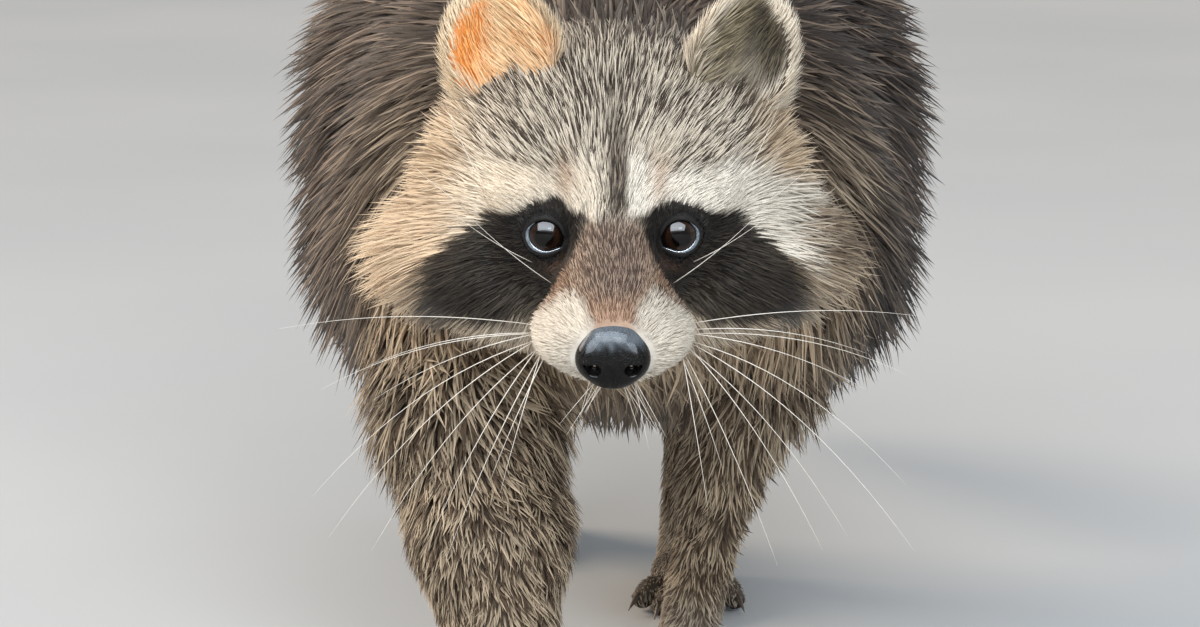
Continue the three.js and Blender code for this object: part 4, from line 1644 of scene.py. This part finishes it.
def make_claws():
    """Five curved claws on each paw."""
    paths, radii = [], []
    for leg in LEGS.values():
        for root, size, turn in toe_rows(leg):
            ahead = np.array([math.sin(turn), -math.cos(turn), 0])
            t = np.linspace(0, 1, CLAW_STEPS)[:, None]
            tip = root + ahead * (size - 1.5) + np.array([0, 0, 2.2])
            drop = np.array([0, 0, -1]) * (t ** 2) * 5.2
            paths.append(tip + ahead * t * (CLAW_LENGTH + 1.5) + drop)
            radii.append(1.75 * (1 - t[:, 0] ** 1.6) + 0.12)
    claws = tubes("claws", paths, radii, 10,
                  lambda t: lerp(tone(50, 42, 37), tone(104, 92, 80), t ** 2))
    finished(claws, "claw", claw_finish())


# lip whiskers: y, z and degrees upwards at the root, length and sag
LIP_WHISKERS = ((-24, -22, 9, 84, 0.14), (-27, -25, 0, 78, 0.24), (-30, -21, 3, 60, 0.2),
                (-29, -28, -18, 78, 0.36), (-33, -25, -28, 84, 0.34),
                (-32, -31, -37, 70, 0.34), (-36, -28, -50, 66, 0.28),
                (-37, -32, -62, 62, 0.2), (-41, -30, -76, 48, 0.1),
                (-34, -20, -10, 56, 0.2), (-40, -34, -64, 40, 0.12))
# brow and cheek whiskers: x, y, z and degrees upwards at the root, and length
BROW_WHISKERS = ((58, 22, 14, 62, 30), (64, 26, 4, 30, 26), (30, -2, -14, 24, 34),
                 (26, -8, -17, 33, 42))
CHIN_WHISKERS = 7


def make_whiskers():
    """White whiskers in rows on each lip, with a few over the eyes and on the chin."""
    rng = np.random.default_rng(8)
    face = np.array([0, math.sin(FACE_LOOK), math.cos(FACE_LOOK)])
    ahead = np.array([0, -math.cos(FACE_LOOK), math.sin(FACE_LOOK)])
    paths, radii = [], []

    def whisker(root, turn, size, thick, forward, sag):
        side = np.sign(root[0])
        out = np.array([side, 0, 0])
        way = math.cos(turn) * out + math.sin(turn) * face + forward * ahead
        t = np.linspace(0, 1, WHISKER_STEPS)[:, None]
        path = root + unit(way) * t * size - face * sag * size * t ** 2.2
        path = path - ahead * 0.10 * size * t ** 2
        paths.append(from_head(path))
        radii.append(thick * (1 - 0.82 * t[:, 0] ** 1.3))

    for side in (-1, 1):
        for y, z, turn, size, sag in LIP_WHISKERS:
            spot = np.array([[side * 30.0, y + rng.uniform(-1, 1), z + rng.uniform(-1, 1)]])
            spot = on_head_skin(spot)[0]
            whisker(spot, math.radians(turn + rng.uniform(-4, 4)),
                    size * rng.uniform(0.9, 1.08), 0.17, rng.uniform(-0.1, 0.3), sag)
        for x, y, z, turn, size in BROW_WHISKERS:
            spot = on_head_skin(np.array([[side * x, y, z]]))[0]
            whisker(spot, math.radians(turn), size, 0.15, 0.5, -0.14)
        for k in range(CHIN_WHISKERS):
            spot = np.array([[side * rng.uniform(1, 9), -48 + 2.2 * k, -38.0]])
            spot = on_head_skin(spot)[0]
            whisker(spot, math.radians(-rng.uniform(45, 85)), rng.uniform(12, 24), 0.13,
                    rng.uniform(0, 0.4), 0.03)
    whiskers = tubes("whiskers", paths, radii, 6, lambda t: lerp(
        tone(190, 180, 166), tone(240, 235, 226), np.minimum(t * 5, 1)))
    finished(whiskers, "whisker", whisker_finish())


# ------------------------------------------------------------------ camera and light

LOOK_DOWN = math.radians(10)
REACH = 1.25                 # m, from the lens to the eyes
LENS, SENSOR = 112.5, 36.0
VIEW_WIDTH = 1200
FOCUS = LENS / SENSOR * VIEW_WIDTH
ASIDE, ABOVE = 12.5 / FOCUS, 79 / FOCUS     # the eyes' place in the view


def make_camera(eyes):
    """A long lens in front, a little above the eyes."""
    ahead = Vector((0, math.cos(LOOK_DOWN), -math.sin(LOOK_DOWN)))
    right = Vector((1, 0, 0))
    up = right.cross(ahead)
    data = bpy.data.cameras.new("camera")
    data.lens, data.sensor_width, data.clip_end = LENS, SENSOR, 50
    camera = linked("camera", data)
    camera.location = eyes - ahead * REACH - right * ASIDE * REACH - up * ABOVE * REACH
    camera.rotation_euler = (math.pi / 2 - LOOK_DOWN, 0, 0)
    bpy.context.scene.camera = camera


def facing_along(way):
    """The turn of a lamp that shines a given way."""
    return way.to_track_quat("-Z", "Y").to_euler()


def lamp(name, place, aim, size, power, colour):
    data = bpy.data.lights.new(name, "AREA")
    data.shape, data.energy, data.color = "RECTANGLE", power, colour
    data.size, data.size_y = size
    made = linked(name, data)
    made.location, made.visible_camera = place, False
    made.rotation_euler = facing_along(Vector(aim) - Vector(place))
    return made


def make_lights(eyes):
    """A weak warm sun from behind, soft panels in front and a pale room."""
    aim = eyes + Vector((0, 0.1, 0))
    sun = bpy.data.lights.new("warm_low_sun", "SUN")
    sun.energy, sun.angle, sun.color = 2.8, math.radians(30), (1.0, 0.81, 0.62)
    low = linked("warm_low_sun", sun)
    low.rotation_euler = facing_along(Vector((1.0, -0.5, -0.45)))
    for name, place, size, power, colour in (
            ("high_panel", (-0.4, -2.0, 1.85), (3.4, 1.1), 27, (0.97, 0.98, 1.0)),
            ("low_panel", (-0.35, -2.1, 1.1), (2.5, 1.3), 22, (0.96, 0.98, 1.0)),
            ("spark", (0.35, -1.6, 1.0), (0.5, 0.25), 5, (0.94, 0.97, 1.0)),
            ("cool_side", (2.1, -0.3, 0.9), (1.3, 1.3), 3, (0.72, 0.85, 1.0))):
        lamp(name, place, aim, size, power, colour)
    world = bpy.data.worlds.new("pale_room")
    bpy.context.scene.world = world
    world.use_nodes = True
    sky = world.node_tree.nodes["Background"]
    sky.inputs["Color"].default_value = flat(222, 227, 232)
    sky.inputs["Strength"].default_value = 0.6


def light_wet_pieces(eyes):
    """A wide window of sky that shows only in the wet eyes and nose."""
    window = lamp("sky_window", (-0.2, -1.55, 1.35), eyes, (3.4, 1.6), 305,
                  (0.80, 0.90, 1.0))
    window.visible_diffuse = False
    wet = bpy.data.collections.new("wet_pieces")
    for name in ("eye_left_ball", "eye_right_ball", "nose_leather"):
        wet.objects.link(bpy.data.objects[name])
    window.light_linking.receiver_collection = wet


FLOOR_STEPS = 96
FLOOR_REACH, BACKDROP_HEIGHT = 16.4, 3.6        # m
FLOOR_DROP = 0.0005         # m, of the floor below the soles


def make_floor():
    """A wide pale floor that sweeps up all round, far off, into its own backdrop."""
    reach = np.array([0.5, 2, 5, 8, 10, 11.5, 12.8, 14, 15, 15.8, FLOOR_REACH])
    rise = BACKDROP_HEIGHT * ease(8, FLOOR_REACH, reach) ** 1.4
    turn = ring_turns(FLOOR_STEPS)
    rings = np.stack([reach[:, None] * np.cos(turn), reach[:, None] * np.sin(turn),
                      np.repeat(rise[:, None], FLOOR_STEPS, 1)], -1).reshape(-1, 3)
    data = bpy.data.meshes.new("floor")
    faces = ring_quads(len(reach), FLOOR_STEPS).tolist() + [list(range(FLOOR_STEPS))[::-1]]
    data.from_pydata(rings.tolist(), [], faces)
    smooth(data)
    floor = linked("floor", data)
    ground = Finish("pale_floor", Specular_IOR_Level=0.2)
    cloud = ground.noise(1.6, 3).between(0.3, 0.7)
    ground.colour(ground.mix(cloud, flat(204, 208, 211), flat(211, 214, 216)))
    ground.rough(0.85 + cloud * 0.1)
    data.materials.append(ground.material)
    floor.location.z = -FLOOR_DROP


# ------------------------------------------------------------------ all together

eyes_at = Vector(to_frame(HEAD_AT))
make_camera(eyes_at)
make_lights(eyes_at)
make_floor()
skin_places, skin_quads = make_skin()
make_eyes()
make_nose()
light_wet_pieces(eyes_at)
make_claws()
make_whiskers()
make_coat(*with_lids(skin_places, skin_quads))
bpy.context.scene.view_settings.view_transform = "Standard"
